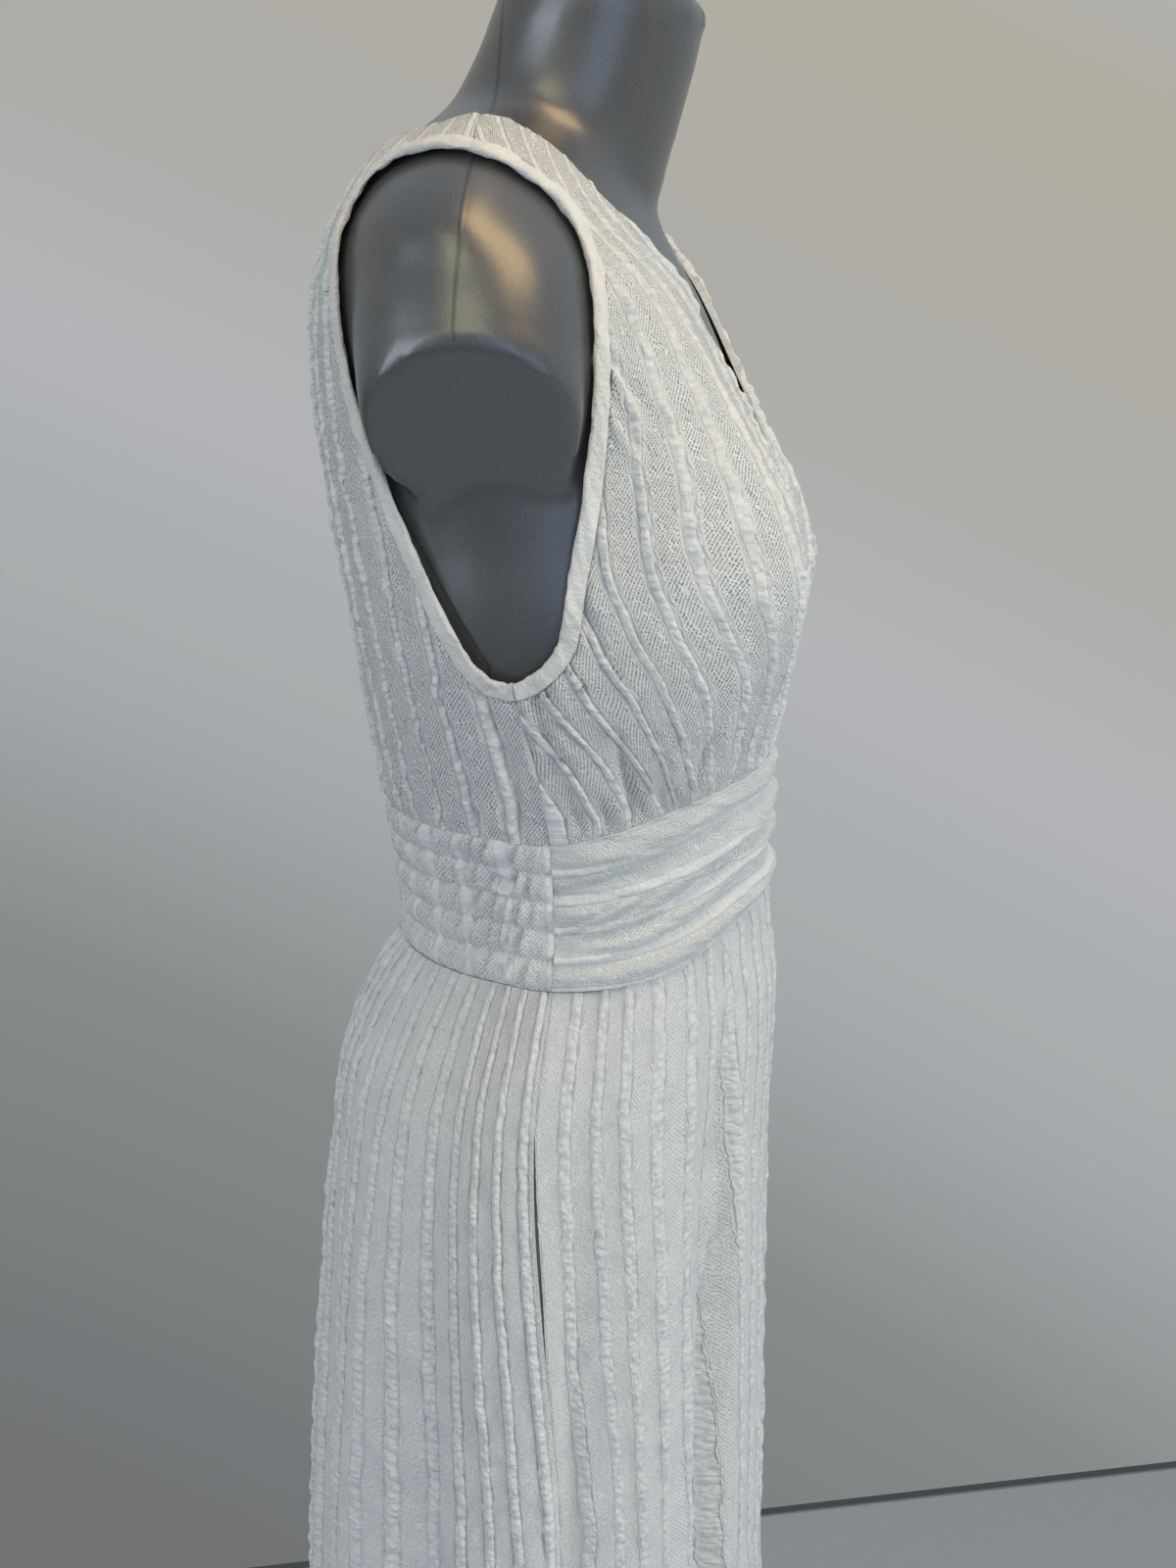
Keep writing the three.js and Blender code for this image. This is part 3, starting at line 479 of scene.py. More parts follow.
# %% Join two grids into a shell
WHOLE_RIM = ((-1e9, 1e9),)


def shell(name, fine, coarse, shapes, weld=0.0, rims=WHOLE_RIM):
    """A thin closed shell. `fine` and `coarse` are columns and rows of the outer and inner grids,
    and each function of `shapes` gives points and cloth places at a depth below the outer face.
    The two grids are joined rim by rim, each rim known by its range of places across the cloth."""
    bm = bmesh.new()
    for layer in ("across", "along"):
        bm.verts.layers.float.new(layer)
    for (columns, rows), depth, facing in ((fine, 0.0, 1), (coarse, CLOTH, -1)):
        made = []
        for shape in shapes:
            made += add_grid(bm, columns, rows, lambda u, v: shape(u, v, depth))
        if weld:
            bmesh.ops.remove_doubles(bm, verts=made, dist=weld * MM)
        made = [vertex for vertex in made if vertex.is_valid]
        faces = list({face for vertex in made for face in vertex.link_faces})
        bm.normal_update()
        outward(bm, faces)
        if facing < 0:
            bmesh.ops.reverse_faces(bm, faces=faces)
    across = bm.verts.layers.float["across"]
    borders = [edge for edge in bm.edges if edge.is_boundary]
    for edge in borders:
        edge.smooth = False
    for low, high in rims:
        rim = [edge for edge in borders if low < edge.verts[0][across] / MM < high]
        bmesh.ops.bridge_loops(bm, edges=rim)
    return finish_mesh(name, bm)


def finish_mesh(name, bm):
    """Makes the object, with a UV map from the cloth places, and smooth shading."""
    mesh = bpy.data.meshes.new(name)
    bm.normal_update()
    bm.to_mesh(mesh)
    bm.free()
    corner = np.empty(len(mesh.loops), int)
    mesh.loops.foreach_get("vertex_index", corner)
    pair = []
    for layer in ("across", "along"):
        values = np.empty(len(mesh.vertices))
        mesh.attributes[layer].data.foreach_get("value", values)
        pair.append(values[corner])
    uv = mesh.uv_layers.new(name="cloth")
    uv.data.foreach_set("uv", np.stack(pair, -1).ravel())
    for layer in ("across", "along"):
        mesh.attributes.remove(mesh.attributes[layer])
    mesh.shade_smooth()
    mesh.calc_loop_triangles()
    print(f"{name}: {len(mesh.loop_triangles)} triangles")
    return put(name, mesh)


# %% [markdown]
# ## Add-node helper and colours
# One function adds a node, sets its options and links its inputs, and gives back the output that
# the next node needs. Colours are written as sRGB hex, as a colour card would give them, and
# `linear` turns them into the values that a shader needs.

# %% Node helper


def linear(hex_colour):
    channels = [int(hex_colour[i : i + 2], 16) / 255 for i in (1, 3, 5)]
    return [c / 12.92 if c <= 0.04045 else ((c + 0.055) / 1.055) ** 2.4 for c in channels] + [1]


def add_node(tree, kind, inputs=None, output=0, **options):
    """Adds a node and returns one of its outputs. An input is a value, or an output to link."""
    node = tree.nodes.new("ShaderNode" + kind)
    for name, value in options.items():
        setattr(node, name, value)
    for name, value in (inputs or {}).items():
        if isinstance(value, bpy.types.NodeSocket):
            tree.links.new(value, node.inputs[name])
        else:
            node.inputs[name].default_value = value
    return node.outputs[output] if node.outputs else node


def new_material(name):
    material = bpy.data.materials.new(name)
    material.use_nodes = True
    material.node_tree.nodes.clear()
    return material, material.node_tree


# %% [markdown]
# ## Seersucker-like jacquard, undyed white
# The cloth is a soft cotton blend, matt and slightly uneven in tone. In one stripe, counted from
# the middle of the ribbon: the ribbon's knots and wrinkles, a band of fine lengthwise pleats, and
# the open basket weave, whose holes are painted darker, as painted shade seen through them. Painted
# shade also darkens the creases between the knots, the furrows of the pleats and a line beside the
# ribbon. Thread spacing is about 0.5 mm, which is too fine to show at this size, so the holes are
# drawn 2 mm and the pleats 1.7 mm apart. Every pattern is pushed about by noise, because
# hand-washed crinkled cloth has no straight line in it.

# %% Bands of a stripe
HOLE_ACROSS, HOLE_ALONG = 2.1, 2.5
PLEAT = 1.7
KNOT = 4.2
TURN = 2 * np.pi
SOFT = {"interpolation_type": "SMOOTHSTEP"}


def stripe_bands(tree, place, drift, ribbon):
    """Masks of the bands of one stripe, with wavy borders: the open weave, the ribbon, the pleats,
    and a line of painted shade just outside the ribbon, as in a narrow gap."""
    across = add_node(tree, "SeparateXYZ", {"Vector": place})
    stripes = add_node(tree, "Math", {0: across, 1: STRIPE}, operation="DIVIDE")
    apart = add_node(tree, "Math", {0: stripes, 1: 0.5}, operation="PINGPONG")
    wavy = add_node(tree, "Math", {0: drift, 1: 0.12, 2: apart}, operation="MULTIPLY_ADD")
    limits = {"Value": wavy, "From Min": 0.27, "From Max": 0.33}
    basket = add_node(tree, "MapRange", limits, **SOFT)
    limits = {"Value": apart, "From Min": 1.2 * ribbon, "From Max": 0.85 * ribbon}
    on_ribbon = add_node(tree, "MapRange", limits, **SOFT)
    taken = add_node(tree, "Math", {0: basket, 1: on_ribbon}, operation="ADD")
    on_pleats = add_node(tree, "Math", {0: 1.0, 1: taken}, operation="SUBTRACT", use_clamp=True)
    # painted shade: a dark line just outside the ribbon's edge
    limits = {"Value": apart, "From Min": 1.9 * ribbon, "From Max": 1.15 * ribbon}
    crevice_shade = add_node(tree, "MapRange", limits)
    crevice_shade = add_node(tree, "Math", {0: crevice_shade, 1: on_pleats}, operation="MULTIPLY")
    return basket, on_ribbon, on_pleats, crevice_shade


# %% Holes, pleats and knots


def woven_parts(tree, place, drift, bands, weave):
    """Staggered holes of the open weave, fine lengthwise pleats, and the knots of the ribbon, which
    meet in narrow creases. Each one shows on its own band only."""
    basket, on_ribbon, on_pleats = bands
    across, along = add_node(tree, "SeparateXYZ", {"Vector": place}, slice(0, 2))
    bent_x = add_node(tree, "Math", {0: drift, 1: 6.0, 2: across}, operation="MULTIPLY_ADD")
    bent_y = add_node(tree, "Math", {0: drift, 1: -7.0, 2: along}, operation="MULTIPLY_ADD")
    waves = []
    for bent, length in ((bent_y, HOLE_ALONG), (bent_x, HOLE_ACROSS), (bent_x, PLEAT)):
        turns = add_node(tree, "Math", {0: bent, 1: TURN / length}, operation="MULTIPLY")
        waves.append(add_node(tree, "Math", {0: turns}, operation="SINE"))
    checks = add_node(tree, "Math", {0: waves[0], 1: waves[1]}, operation="MULTIPLY")
    specks = add_node(tree, "TexNoise", {"Vector": place, "Scale": 0.6, "Detail": 2.0})
    checks = add_node(tree, "Math", {0: specks, 1: 1.1, 2: checks}, operation="MULTIPLY_ADD")
    limits = {"Value": checks, "From Min": 0.62, "From Max": 1.15, "To Max": weave}
    hole = add_node(tree, "MapRange", limits, **SOFT)
    squeezed = add_node(tree, "Mapping", {"Vector": place, "Scale": (0.75, 1.1, 1)})
    cells = {"Vector": squeezed, "Scale": 1 / KNOT, "Randomness": 0.9, "Smoothness": 0.25}
    knot = add_node(tree, "TexVoronoi", cells, feature="SMOOTH_F1", voronoi_dimensions="2D")
    pairs = ((hole, basket), (waves[2], on_pleats), (knot, on_ribbon))
    pairs = [{0: part, 1: band} for part, band in pairs]
    return [add_node(tree, "Math", pair, operation="MULTIPLY") for pair in pairs]


# %% Cloth material


def cloth_material(name, colours, ribbon, weave, pleats, knots, edge_shade):
    """Jacquard cloth. `ribbon` is the ribbon's half width as a share of a stripe. The last four say
    how strongly the open weave, the pleats, the ribbon's knots and the painted shade along its
    edges show; the first three of them also set how much painted shade lies in the holes, the
    furrows of the pleats and the creases between the knots."""
    material, tree = new_material(name)
    uv = add_node(tree, "UVMap", uv_map="cloth")
    place = add_node(tree, "VectorMath", {"Vector": uv, "Scale": 1 / MM}, operation="SCALE")
    drift = add_node(tree, "TexNoise", {"Vector": place, "Scale": 0.14, "Detail": 3.0})
    basket, on_ribbon, on_pleats, crevice_shade = stripe_bands(tree, place, drift, ribbon)
    bands = basket, on_ribbon, on_pleats
    hole, pleat, knot = woven_parts(tree, place, drift, bands, weave)

    # everywhere: creases of a few millimetres and the thread itself
    stretched = add_node(tree, "Mapping", {"Vector": place, "Scale": (0.8, 1.3, 1)})
    crease = {"Vector": stretched, "Scale": 0.42, "Detail": 4.0, "Roughness": 0.6}
    crease = add_node(tree, "TexNoise", crease)
    thread = add_node(tree, "TexNoise", {"Vector": place, "Scale": 1.6, "Detail": 2.0})

    height = add_node(tree, "Math", {0: hole, 1: -0.8}, operation="MULTIPLY")
    for part, share in ((knot, -1.8 * knots), (pleat, 0.26 * pleats), (crease, 1.7), (thread, 0.6)):
        height = add_node(tree, "Math", {0: part, 1: share, 2: height}, operation="MULTIPLY_ADD")
    bump = add_node(tree, "Bump", {"Height": height, "Strength": 0.9, "Distance": MM})

    base, shade, painted_shade_tone = (linear(value) for value in colours)
    slub = add_node(tree, "TexNoise", {"Vector": place, "Scale": 0.05, "Detail": 4.0})
    patches = add_node(tree, "MapRange", {"Value": slub, "From Min": 0.3, "From Max": 0.75}, **SOFT)
    tone = {"Factor": patches, "A": base, "B": shade}
    tone = add_node(tree, "Mix", tone, "Result", data_type="RGBA")
    # painted shade: the holes, the creases between the knots, the line beside the ribbon and the
    # pleats' troughs are mixed towards the painted shade tone; the cloth off the ribbon is made a
    # little darker too
    dark = add_node(tree, "Math", {0: hole, 1: 0.75}, operation="MULTIPLY")
    pleat_furrow_shade = add_node(tree, "MapRange", {"Value": pleat, "From Min": -0.2, "From Max": -1.0})
    ground = add_node(tree, "Math", {0: 1.0, 1: on_ribbon}, operation="SUBTRACT")
    shares = ((knot, 0.16 * knots), (crevice_shade, edge_shade), (pleat_furrow_shade, 0.14 * pleats), (ground, 0.04))
    for part, share in shares:
        dark = add_node(tree, "Math", {0: part, 1: share, 2: dark}, operation="MULTIPLY_ADD")
    tone = {"Factor": dark, "A": tone, "B": painted_shade_tone}
    tone = add_node(tree, "Mix", tone, "Result", data_type="RGBA")
    finish = {"Base Color": tone, "Normal": bump, "Roughness": 0.88, "Specular IOR Level": 0.25}
    finish |= {"Sheen Weight": 0.12, "Sheen Roughness": 0.5}
    add_node(tree, "OutputMaterial", {"Surface": add_node(tree, "BsdfPrincipled", finish)})
    return material


# the third colour of each set is the painted shade tone of holes, creases and pleat troughs
WHITE = ("#f7f7f5", "#edeeed", "#7f858c")
bodice_jacquard = cloth_material("white_pucker_jacquard_bodice", WHITE, 0.105, 1.0, 1.3, 1.2, 0.26)
skirt_jacquard = cloth_material("white_pucker_jacquard_skirt", WHITE, 0.16, 0.35, 1.6, 1.25, 0.08)
band_jacquard = cloth_material("white_pucker_jacquard_waistband", WHITE, 0.12, 0.5, 1.0, 0.4, 0.1)
CREAM = ("#f2f1ed", "#e6e5e1", "#8f9194")
tape_crepe = cloth_material("white_crinkle_bias_tape", CREAM, 0.6, 0.0, 0.0, 0.12, 0.0)
LAWN = ("#ddd6ca", "#d2cbbf", "#8f9194")
pocket_lawn = cloth_material("white_cotton_pocket", LAWN, 0.6, 0.0, 0.0, 0.0, 0.0)
print("cloth materials:", [item.name for item in bpy.data.materials if "white" in item.name])

# %% [markdown]
# ## Skirt: where the ribbons run
# The ribbons hang nearly upright. Their angles are read off at hip height, so that their spacing
# is uneven in the way that gathered cloth is, and each ribbon then keeps its share of the panel's
# width from the waistband to the hem. The grid has ten columns for one stripe, crowded at the
# ribbon, so the ribbon's edges stay crisp with few triangles.

# %% Ribbons of the skirt
HIP = 810
FRONT_RIBBONS = [73.1, 65.8, 59.4, 51.7, 42.3, 35.9, 29.7, 22.9, 16.6, 10.4, 3.9, -2.5, -9.3]
FRONT_RIBBONS += [-15.4, -21.9, -28.6, -34.7, -41, -48.4, -55.3, -62.2, -68.7, -74.6]
BACK_RIBBONS = [83.5, 90.4, 96.4, 102.1, 109.2, 119.3, 128.2, 137.6, 146.7, 153.6, 160, 166.9]
BACK_RIBBONS += [173.1, 179.8, 186.6, 193, 199.9, 206.2, 213.4, 221.7, 230.8, 240.3, 249.4, 257.1]
BACK_RIBBONS += [263.6, 269.9, 275.8]
COLUMN_PHASES = np.array([-0.5, -0.26, -0.175, -0.12, -0.06, 0, 0.06, 0.12, 0.175, 0.26])


def side_seam(z):
    return read(SIDE_SEAM, "z", "angle", z)


def arc_table(low, high, z):
    """Angles from low to high and the length of cloth up to each of them."""
    angles = np.linspace(low, high, 300)
    steps = np.linalg.norm(np.diff(skin(angles, np.full(300, float(z))), axis=0), axis=1)
    return angles, np.append(0, np.cumsum(steps))


def ribbon_shares(ribbons, low, high):
    """Share of the panel's width at which each ribbon lies."""
    angles, length = arc_table(low, high, HIP)
    return np.interp(np.sort(ribbons), angles, length) / length[-1]


def stripe_to_share(ribbons, low, high):
    """Two columns to interpolate: a count of stripes, and the share of the panel's width."""
    shares = ribbon_shares(ribbons, low, high)
    step = 1 / (len(ribbons) + 0.3)
    first, last = 1 - shares[0] / step, len(ribbons) + (1 - shares[-1]) / step
    return np.r_[first, np.arange(1, len(ribbons) + 1), last], np.r_[0, shares, 1]


def stripe_columns(counts):
    """Places of the grid's columns, in stripes: crowded at each ribbon."""
    first, last = counts[0], counts[-1]
    every = (np.arange(int(first) - 1, int(last) + 2)[:, None] + COLUMN_PHASES).ravel()
    inside = every[(every > first + 0.03) & (every < last - 0.03)]
    return np.r_[first, inside, last]


# %% [markdown]
# ## Skirt: folds and gathers
# Long folds start below the hips and open towards the hem, which is what a gathered A-line skirt
# does. Above them the cloth is gathered into the waistband, so between the ribbons it puffs out
# in short rounded gathers that die away within a hand's breadth. The pocket's mouth is a slit in
# each side seam, whose front edge stands a little away.

# %% Folds, gathers and pocket mouth
SKIRT_FOLDS = table(
    "waist hem rise spread full",
    (34.8, 35.6, -15, 6.5, 850),
    (30, 30.4, 8, 6.5, 850),
    (38.5, 44, -5, 12, 800),
    (-4, -7, -7, 15, 780),
    (-22, -34, -12, 16, 850),
    (-36, -50, 6, 17, 800),
    (-60, -66, -5, 14, 760),
    (76, 71, -9, 12, 760),
    (108, 107, -5, 15, 720),
    (130, 127, 4, 18, 740),
    (149, 146, -7, 16, 700),
    (172, 167, -6, 17, 760),
    (-164, -169, 5, 16, 720),
    (-143, -148, -7, 17, 690),
    (-112, -109, -5, 14, 740),
)
MOUTH_TOP, MOUTH_BOTTOM, MOUTH_GAPE = 918, 806, 2.3


def skirt_folds(angle, z):
    waist = band_edge("bottom", angle)
    down = (waist - z) / (waist - HEM_HEIGHT)
    section = section_at(z)
    radius = 0.5 * (section["half"] + (section["back"] - section["front"]) / 2)
    total = np.zeros_like(z)
    for fold in rows_of(SKIRT_FOLDS):
        middle = mix(fold["waist"], fold["hem"], np.minimum(down / 0.35, 1))
        grown = 1 - smooth(fold["full"], waist - 4, z)
        apart = ((angle - middle + 540) % 360 - 180) * DEGREE * radius
        total += fold["rise"] * grown * bell(apart, fold["spread"] * (0.8 + 0.9 * down))
    return total


def pocket_gape(z):
    share = np.clip((z - MOUTH_BOTTOM) / (MOUTH_TOP - MOUTH_BOTTOM), 0, 1)
    return MOUTH_GAPE * np.sin(np.pi * share) ** 0.8 / (DEGREE * section_at(z)["half"])


def waist_gathers(count, below):
    """Rounded gathers under the waistband, uneven from stripe to stripe."""
    stripe = np.floor(count)
    reach = 58 + 34 * ripple(stripe * 1.7, 40)
    depth = 1.9 + 0.9 * ripple(stripe * 2.3, 41)
    lean = 0.1 * ripple(below / 40, stripe + 20)
    puff = np.abs(np.sin(np.pi * (count - stripe + lean)))
    doubled = 0.35 * np.abs(np.sin(2 * np.pi * (count + 0.13)))
    held = mix(0.25, 1, smooth(0, 10, below))
    return (depth * (puff - 0.55) + doubled) * held * (1 - smooth(0, 1, below / reach))


# %% Relief of the skirt
SKIRT_ROWS = {"skirt_front": 350, "skirt_back": 300}
SKIRT_INNER = (52, 84)
SKIRT_RIBBON = {"skirt_front": (0.185, 1.6), "skirt_back": (0.15, 2.1)}
SIDE_TRIM = 0.02
HEM_TURN = 17


def panel_angles(count, v, counts, shares, edges):
    """Angles of places that are given as stripes and a share of the height. At each level the
    ribbons keep their shares of the length from edge to edge."""
    waist = float(band_bottom(np.array([90.0]))[1][0]) - SEAM / 2
    levels, row = np.unique(v, return_inverse=True)
    angle = np.empty_like(v)
    for level, value in enumerate(levels):
        z = mix(waist, HEM_HEIGHT + SEAM / 2, value)
        low, high = (float(edge(np.array([z]))[0]) for edge in edges)
        angles, length = arc_table(low, high, z)
        trim = SIDE_TRIM / length[-1]
        here = row == level
        stray = wander(np.rint(count[here]), (waist - z) + 0 * count[here])
        inside = (count[here] > counts[0] + 0.4) & (count[here] < counts[-1] - 0.4)
        share = np.interp(count[here] + np.where(inside, stray, 0), counts, shares)
        angle[here] = np.interp(mix(trim, 1 - trim, share) * length[-1], length, angles)
    return angle


def fine_relief(z, count, below, free, counts, ribbon):
    """Ribbons of a panel, the sway of the cloth between them, and small creases."""
    near = np.rint(count)
    grown = mix(0.65, 1, smooth(10, 120, below)) * smooth(0, 14, z - HEM_HEIGHT - 4)
    real = (near > counts[0] + 0.2) & (near < counts[-1] - 0.2)
    relief = pucker((count - near) / ribbon[0], below, near, ribbon[1], 10.0) * grown * real
    hanging = smooth(20, 90, below) * smooth(0, 30, z - HEM_HEIGHT) * free
    relief += sway(count, below, 1.5) * hanging
    small = 0.4 * crinkle(count * 3, z / 11, 1) + 0.3 * crinkle(count * 8, z / 6, 2)
    return relief + small * free


def border_relief(z, edge):
    """The side seam draws the cloth in, the pocket's mouth stands away, and the hem is turned."""
    at_mouth = smooth(MOUTH_BOTTOM - 8, MOUTH_BOTTOM + 6, z)
    at_mouth = at_mouth * smooth(MOUTH_TOP + 8, MOUTH_TOP - 4, z)
    turned = z - HEM_HEIGHT - HEM_TURN
    hem = 0.5 * bell(turned, 2.0) - 0.5 * bell(turned - 4, 1.6)
    return hem - mix(0.15, -0.6, at_mouth) * (1 - smooth(0, 3.0, edge))


# %% Skirt panels


def skirt_shape(counts, shares, edges, columns, ribbon):
    """Shape function of a panel between two edges, which are functions of height. `ribbon` is the
    half width of a ribbon in stripes and its height."""
    coarse = np.rint(np.linspace(0, len(columns) - 1, SKIRT_INNER[0] + 1)).astype(int)

    def shape(u, v, depth):
        fine = depth == 0
        along_columns = columns if fine else columns[coarse]
        count = along_columns[np.rint(u * (len(along_columns) - 1)).astype(int)]
        angle = panel_angles(count, v, counts, shares, edges)
        z = mix(band_edge("bottom", angle) - SEAM / 2, HEM_HEIGHT + SEAM / 2, v)
        below = band_edge("bottom", angle) - z
        edge = np.minimum(count - counts[0], counts[-1] - count) * STRIPE
        free = mix(0.12, 1, smooth(0, 10, edge))
        relief = skirt_folds(angle, z) - depth + border_relief(z, edge)
        relief += waist_gathers(count + 0.5, below) * free - 0.8 * (1 - smooth(0, 5, below))
        if fine:
            relief += fine_relief(z, count, below, free, counts, ribbon)
        return raised(angle, z, relief), np.stack([count * STRIPE, below], -1)

    return shape


def skirt_panel(name, ribbons, *edges):
    low, high = (float(edge(np.array([float(HIP)]))[0]) for edge in edges)
    counts, shares = stripe_to_share(ribbons, low, high)
    columns = stripe_columns(counts)
    shape = skirt_shape(counts, shares, edges, columns, SKIRT_RIBBON[name])
    print(name, "stripes:", round(counts[-1] - counts[0], 2))
    return shell(name, (len(columns) - 1, SKIRT_ROWS[name]), SKIRT_INNER, [shape])


skirt_front = skirt_panel(
    "skirt_front",
    FRONT_RIBBONS,
    lambda z: pocket_gape(z) - side_seam(z),
    lambda z: side_seam(z) - pocket_gape(z),
)
skirt_back = skirt_panel("skirt_back", BACK_RIBBONS, side_seam, lambda z: 360 - side_seam(z))

# %% [markdown]
# ## Bodice: a patch between four edges
# A bodice piece has four edges, and a Coons patch fills them: it adds the surface drawn between
# bottom and top to the one drawn between left and right and takes off the corners. The left front
# is the mirror image of the right one.

# %% Coons patch
ROW_GROUPS = 17  # parts of the height, so that a corner in an edge falls on a row of the grid
SIDE_GROUPS, CENTRE_GROUPS = 4, 13  # parts below the underarm, and below the back's scoop
SIDE_PART, CENTRE_PART = SIDE_GROUPS / ROW_GROUPS, CENTRE_GROUPS / ROW_GROUPS


def patch(u, v, bottom, right, top, left):
    """Places inside four edges, each a function of a share from 0 to 1."""
    edges = [bottom(u), top(u), left(v), right(v)]
    corners = [edge(np.array([end])) for edge in (bottom, top) for end in (0.0, 1.0)]
    places = []
    for part in (0, 1):
        low, high, start, end = (edge[part] for edge in edges)
        c00, c10, c01, c11 = (float(corner[part][0]) for corner in corners)
        blend = (1 - v) * low + v * high + (1 - u) * start + u * end
        blend -= (1 - u) * (1 - v) * c00 + u * (1 - v) * c10 + (1 - u) * v * c01 + u * v * c11
        places.append(blend)
    return places


def joined(first, second, share):
    """One edge made of two paths, with `share` of the rows in the first. Each path takes shares."""

    def edge(v):
        a, b = first(np.clip(v / share, 0, 1)), second(np.clip((v - share) / (1 - share), 0, 1))
        return tuple(np.where(v <= share, x, y) for x, y in zip(a, b))

    return edge


side_line = lambda v: evenly(straight(side_top, underarm_seam), v)
front_armhole = lambda v: armhole_seam(v * ARMHOLE_TOP)
back_armhole = lambda v: armhole_seam(1 - v * (1 - ARMHOLE_TOP))
centre_front = lambda v: evenly(straight(one(band_top(np.array([0.0]))), (0.0, float(V_POINT))), v)

# %% [markdown]
# ## Bodice fronts: ribbons that fan from the shoulder
# On each front the ribbons run from the shoulder down over the bust and close up again where the
# cloth is gathered into the waistband. The table gives each ribbon's angle at nine heights, and a
# place between two ribbons gets a count between theirs. The cloth's pattern then follows by
# itself.

# %% Ribbons of the bodice
FRONT_LEVELS = table(
    "z a b c d e f g h i j k l",
    (1072, 4, 12.5, 20.1, 27.4, 34.4, 41.0, 48.1, 53.3, 57.9, 67.2, 76.6, 86),
    (1104, 4.5, 14, 22.5, 30.5, 37.4, 45.4, 53, 59.4, 66.2, 74.5, 84, 94),
    (1136, 5, 16.5, 25, 32.5, 39.5, 50.1, 58.3, 66.1, 74.6, 84, 94, 104),
    (1168, 6, 17.5, 28, 37.5, 46.4, 56.5, 64.6, 72.9, 81, 90, 100, 110),
    (1205, 8, 18, 28.5, 39.4, 51.3, 60.3, 68.7, 77, 85.5, 94, 103, 112),
    (1277, 12, 17.5, 23.2, 34.5, 45.0, 55.1, 64.5, 73, 81, 90, 99, 108),
    (1330, 17.5, 22.5, 28.5, 36, 45.5, 54.5, 63, 71, 79, 87, 95, 103),
    (1366, 31, 36.5, 42.5, 49, 56.5, 64.5, 72.5, 80.5, 88, 95, 102, 109),
    (1408, 47, 53, 60, 67.5, 75.5, 83.5, 91.5, 99, 106, 113, 120, 127),
)
LINES = [name for name in FRONT_LEVELS if name != "z"]


def front_count(angle, z):
    """Stripes from the centre front, for the wearer's right front."""
    lines = [read(FRONT_LEVELS, "z", name, z) for name in LINES]
    count = (angle - lines[0]) * per_degree(angle, z) / STRIPE
    count = np.where(angle < lines[0], np.maximum(count, -3), 0)
    for before, after in zip(lines, lines[1:]):
        count = count + np.clip((angle - before) / (after - before), 0, 1)
    return count


BACK_LINES_AT = 1205


def back_count(angle, z):
    """Stripes from the centre back; each ribbon keeps its angle, so it leans in at the waist."""
    angles, length = arc_table(60, 300, BACK_LINES_AT)
    middle = np.interp(180, angles, length)
    lean = 3.5 * smooth(1330, 1060, z) * np.sign(180 - angle) * smooth(0, 40, np.abs(180 - angle))
    return (np.interp(angle + lean, angles, length) - middle) / STRIPE + 0.5


# %% Gathers and folds of the bodice
FRONT_CREASES = table(
    CREASE_COLUMNS,
    (80.5, 1058, 84, 1086, 1, -2.2, 3.0, 0),
    (73, 1060, 78, 1092, 2, -2.6, 3.0, 0),
    (66.5, 1062, 70.5, 1130, 1.5, -4.8, 3.2, 0),
    (62.5, 1064, 66, 1088, 0, -2.4, 2.6, 0),
    (57.5, 1066, 61.5, 1094, 1, -3.0, 3.0, 0),
    (52.5, 1068, 56, 1086, 0, -2.2, 2.6, 0),
    (47, 1070, 43.5, 1122, -2.5, -4.6, 3.3, 0),
    (41.5, 1072, 40, 1090, 0, -3.0, 2.8, 0),
    (34.5, 1074, 35, 1118, 1, -3.2, 3.0, 0),
    (24, 1077, 22, 1096, 0, -2.8, 3.0, 0),
    (15, 1079, 12.5, 1124, 1, -3.0, 3.2, 0),
    (6, 1081, 5, 1100, 0, -2.4, 3.0, 0),
    (70, 1064, 74, 1100, 2, 1.8, 4.5, 0),
    (60, 1067, 64.5, 1104, 2, 1.6, 4.5, 0),
    (50, 1070, 49, 1108, 0, 1.8, 4.5, 0),
    (38, 1074, 37.5, 1104, 0, 1.8, 4.5, 0),
    (29, 1076, 27, 1104, 0, 1.6, 4.5, 0),
    (19, 1079, 17, 1106, 0, 1.6, 4.5, 0),
)
ARMHOLE_CREASES = table(
    CREASE_COLUMNS,
    (60.5, 1318, 50, 1244, 3, 4.4, 4.0, 0),
    (57.5, 1316, 46.5, 1256, 3, -3.0, 3.4, 0),
    (63, 1300, 55, 1226, 3, 2.8, 3.6, 0),
    (54, 1352, 42, 1306, 4, 2.0, 4.0, 0),
    (50.5, 1348, 38, 1284, 4, -2.6, 3.4, 0),
    (76, 1196, 68, 1144, 2, -3.4, 4.0, 0),
    (83, 1168, 77, 1118, 2, 2.8, 4.0, 0),
    (86, 1150, 84, 1090, 1, -3.8, 3.4, 0),
)
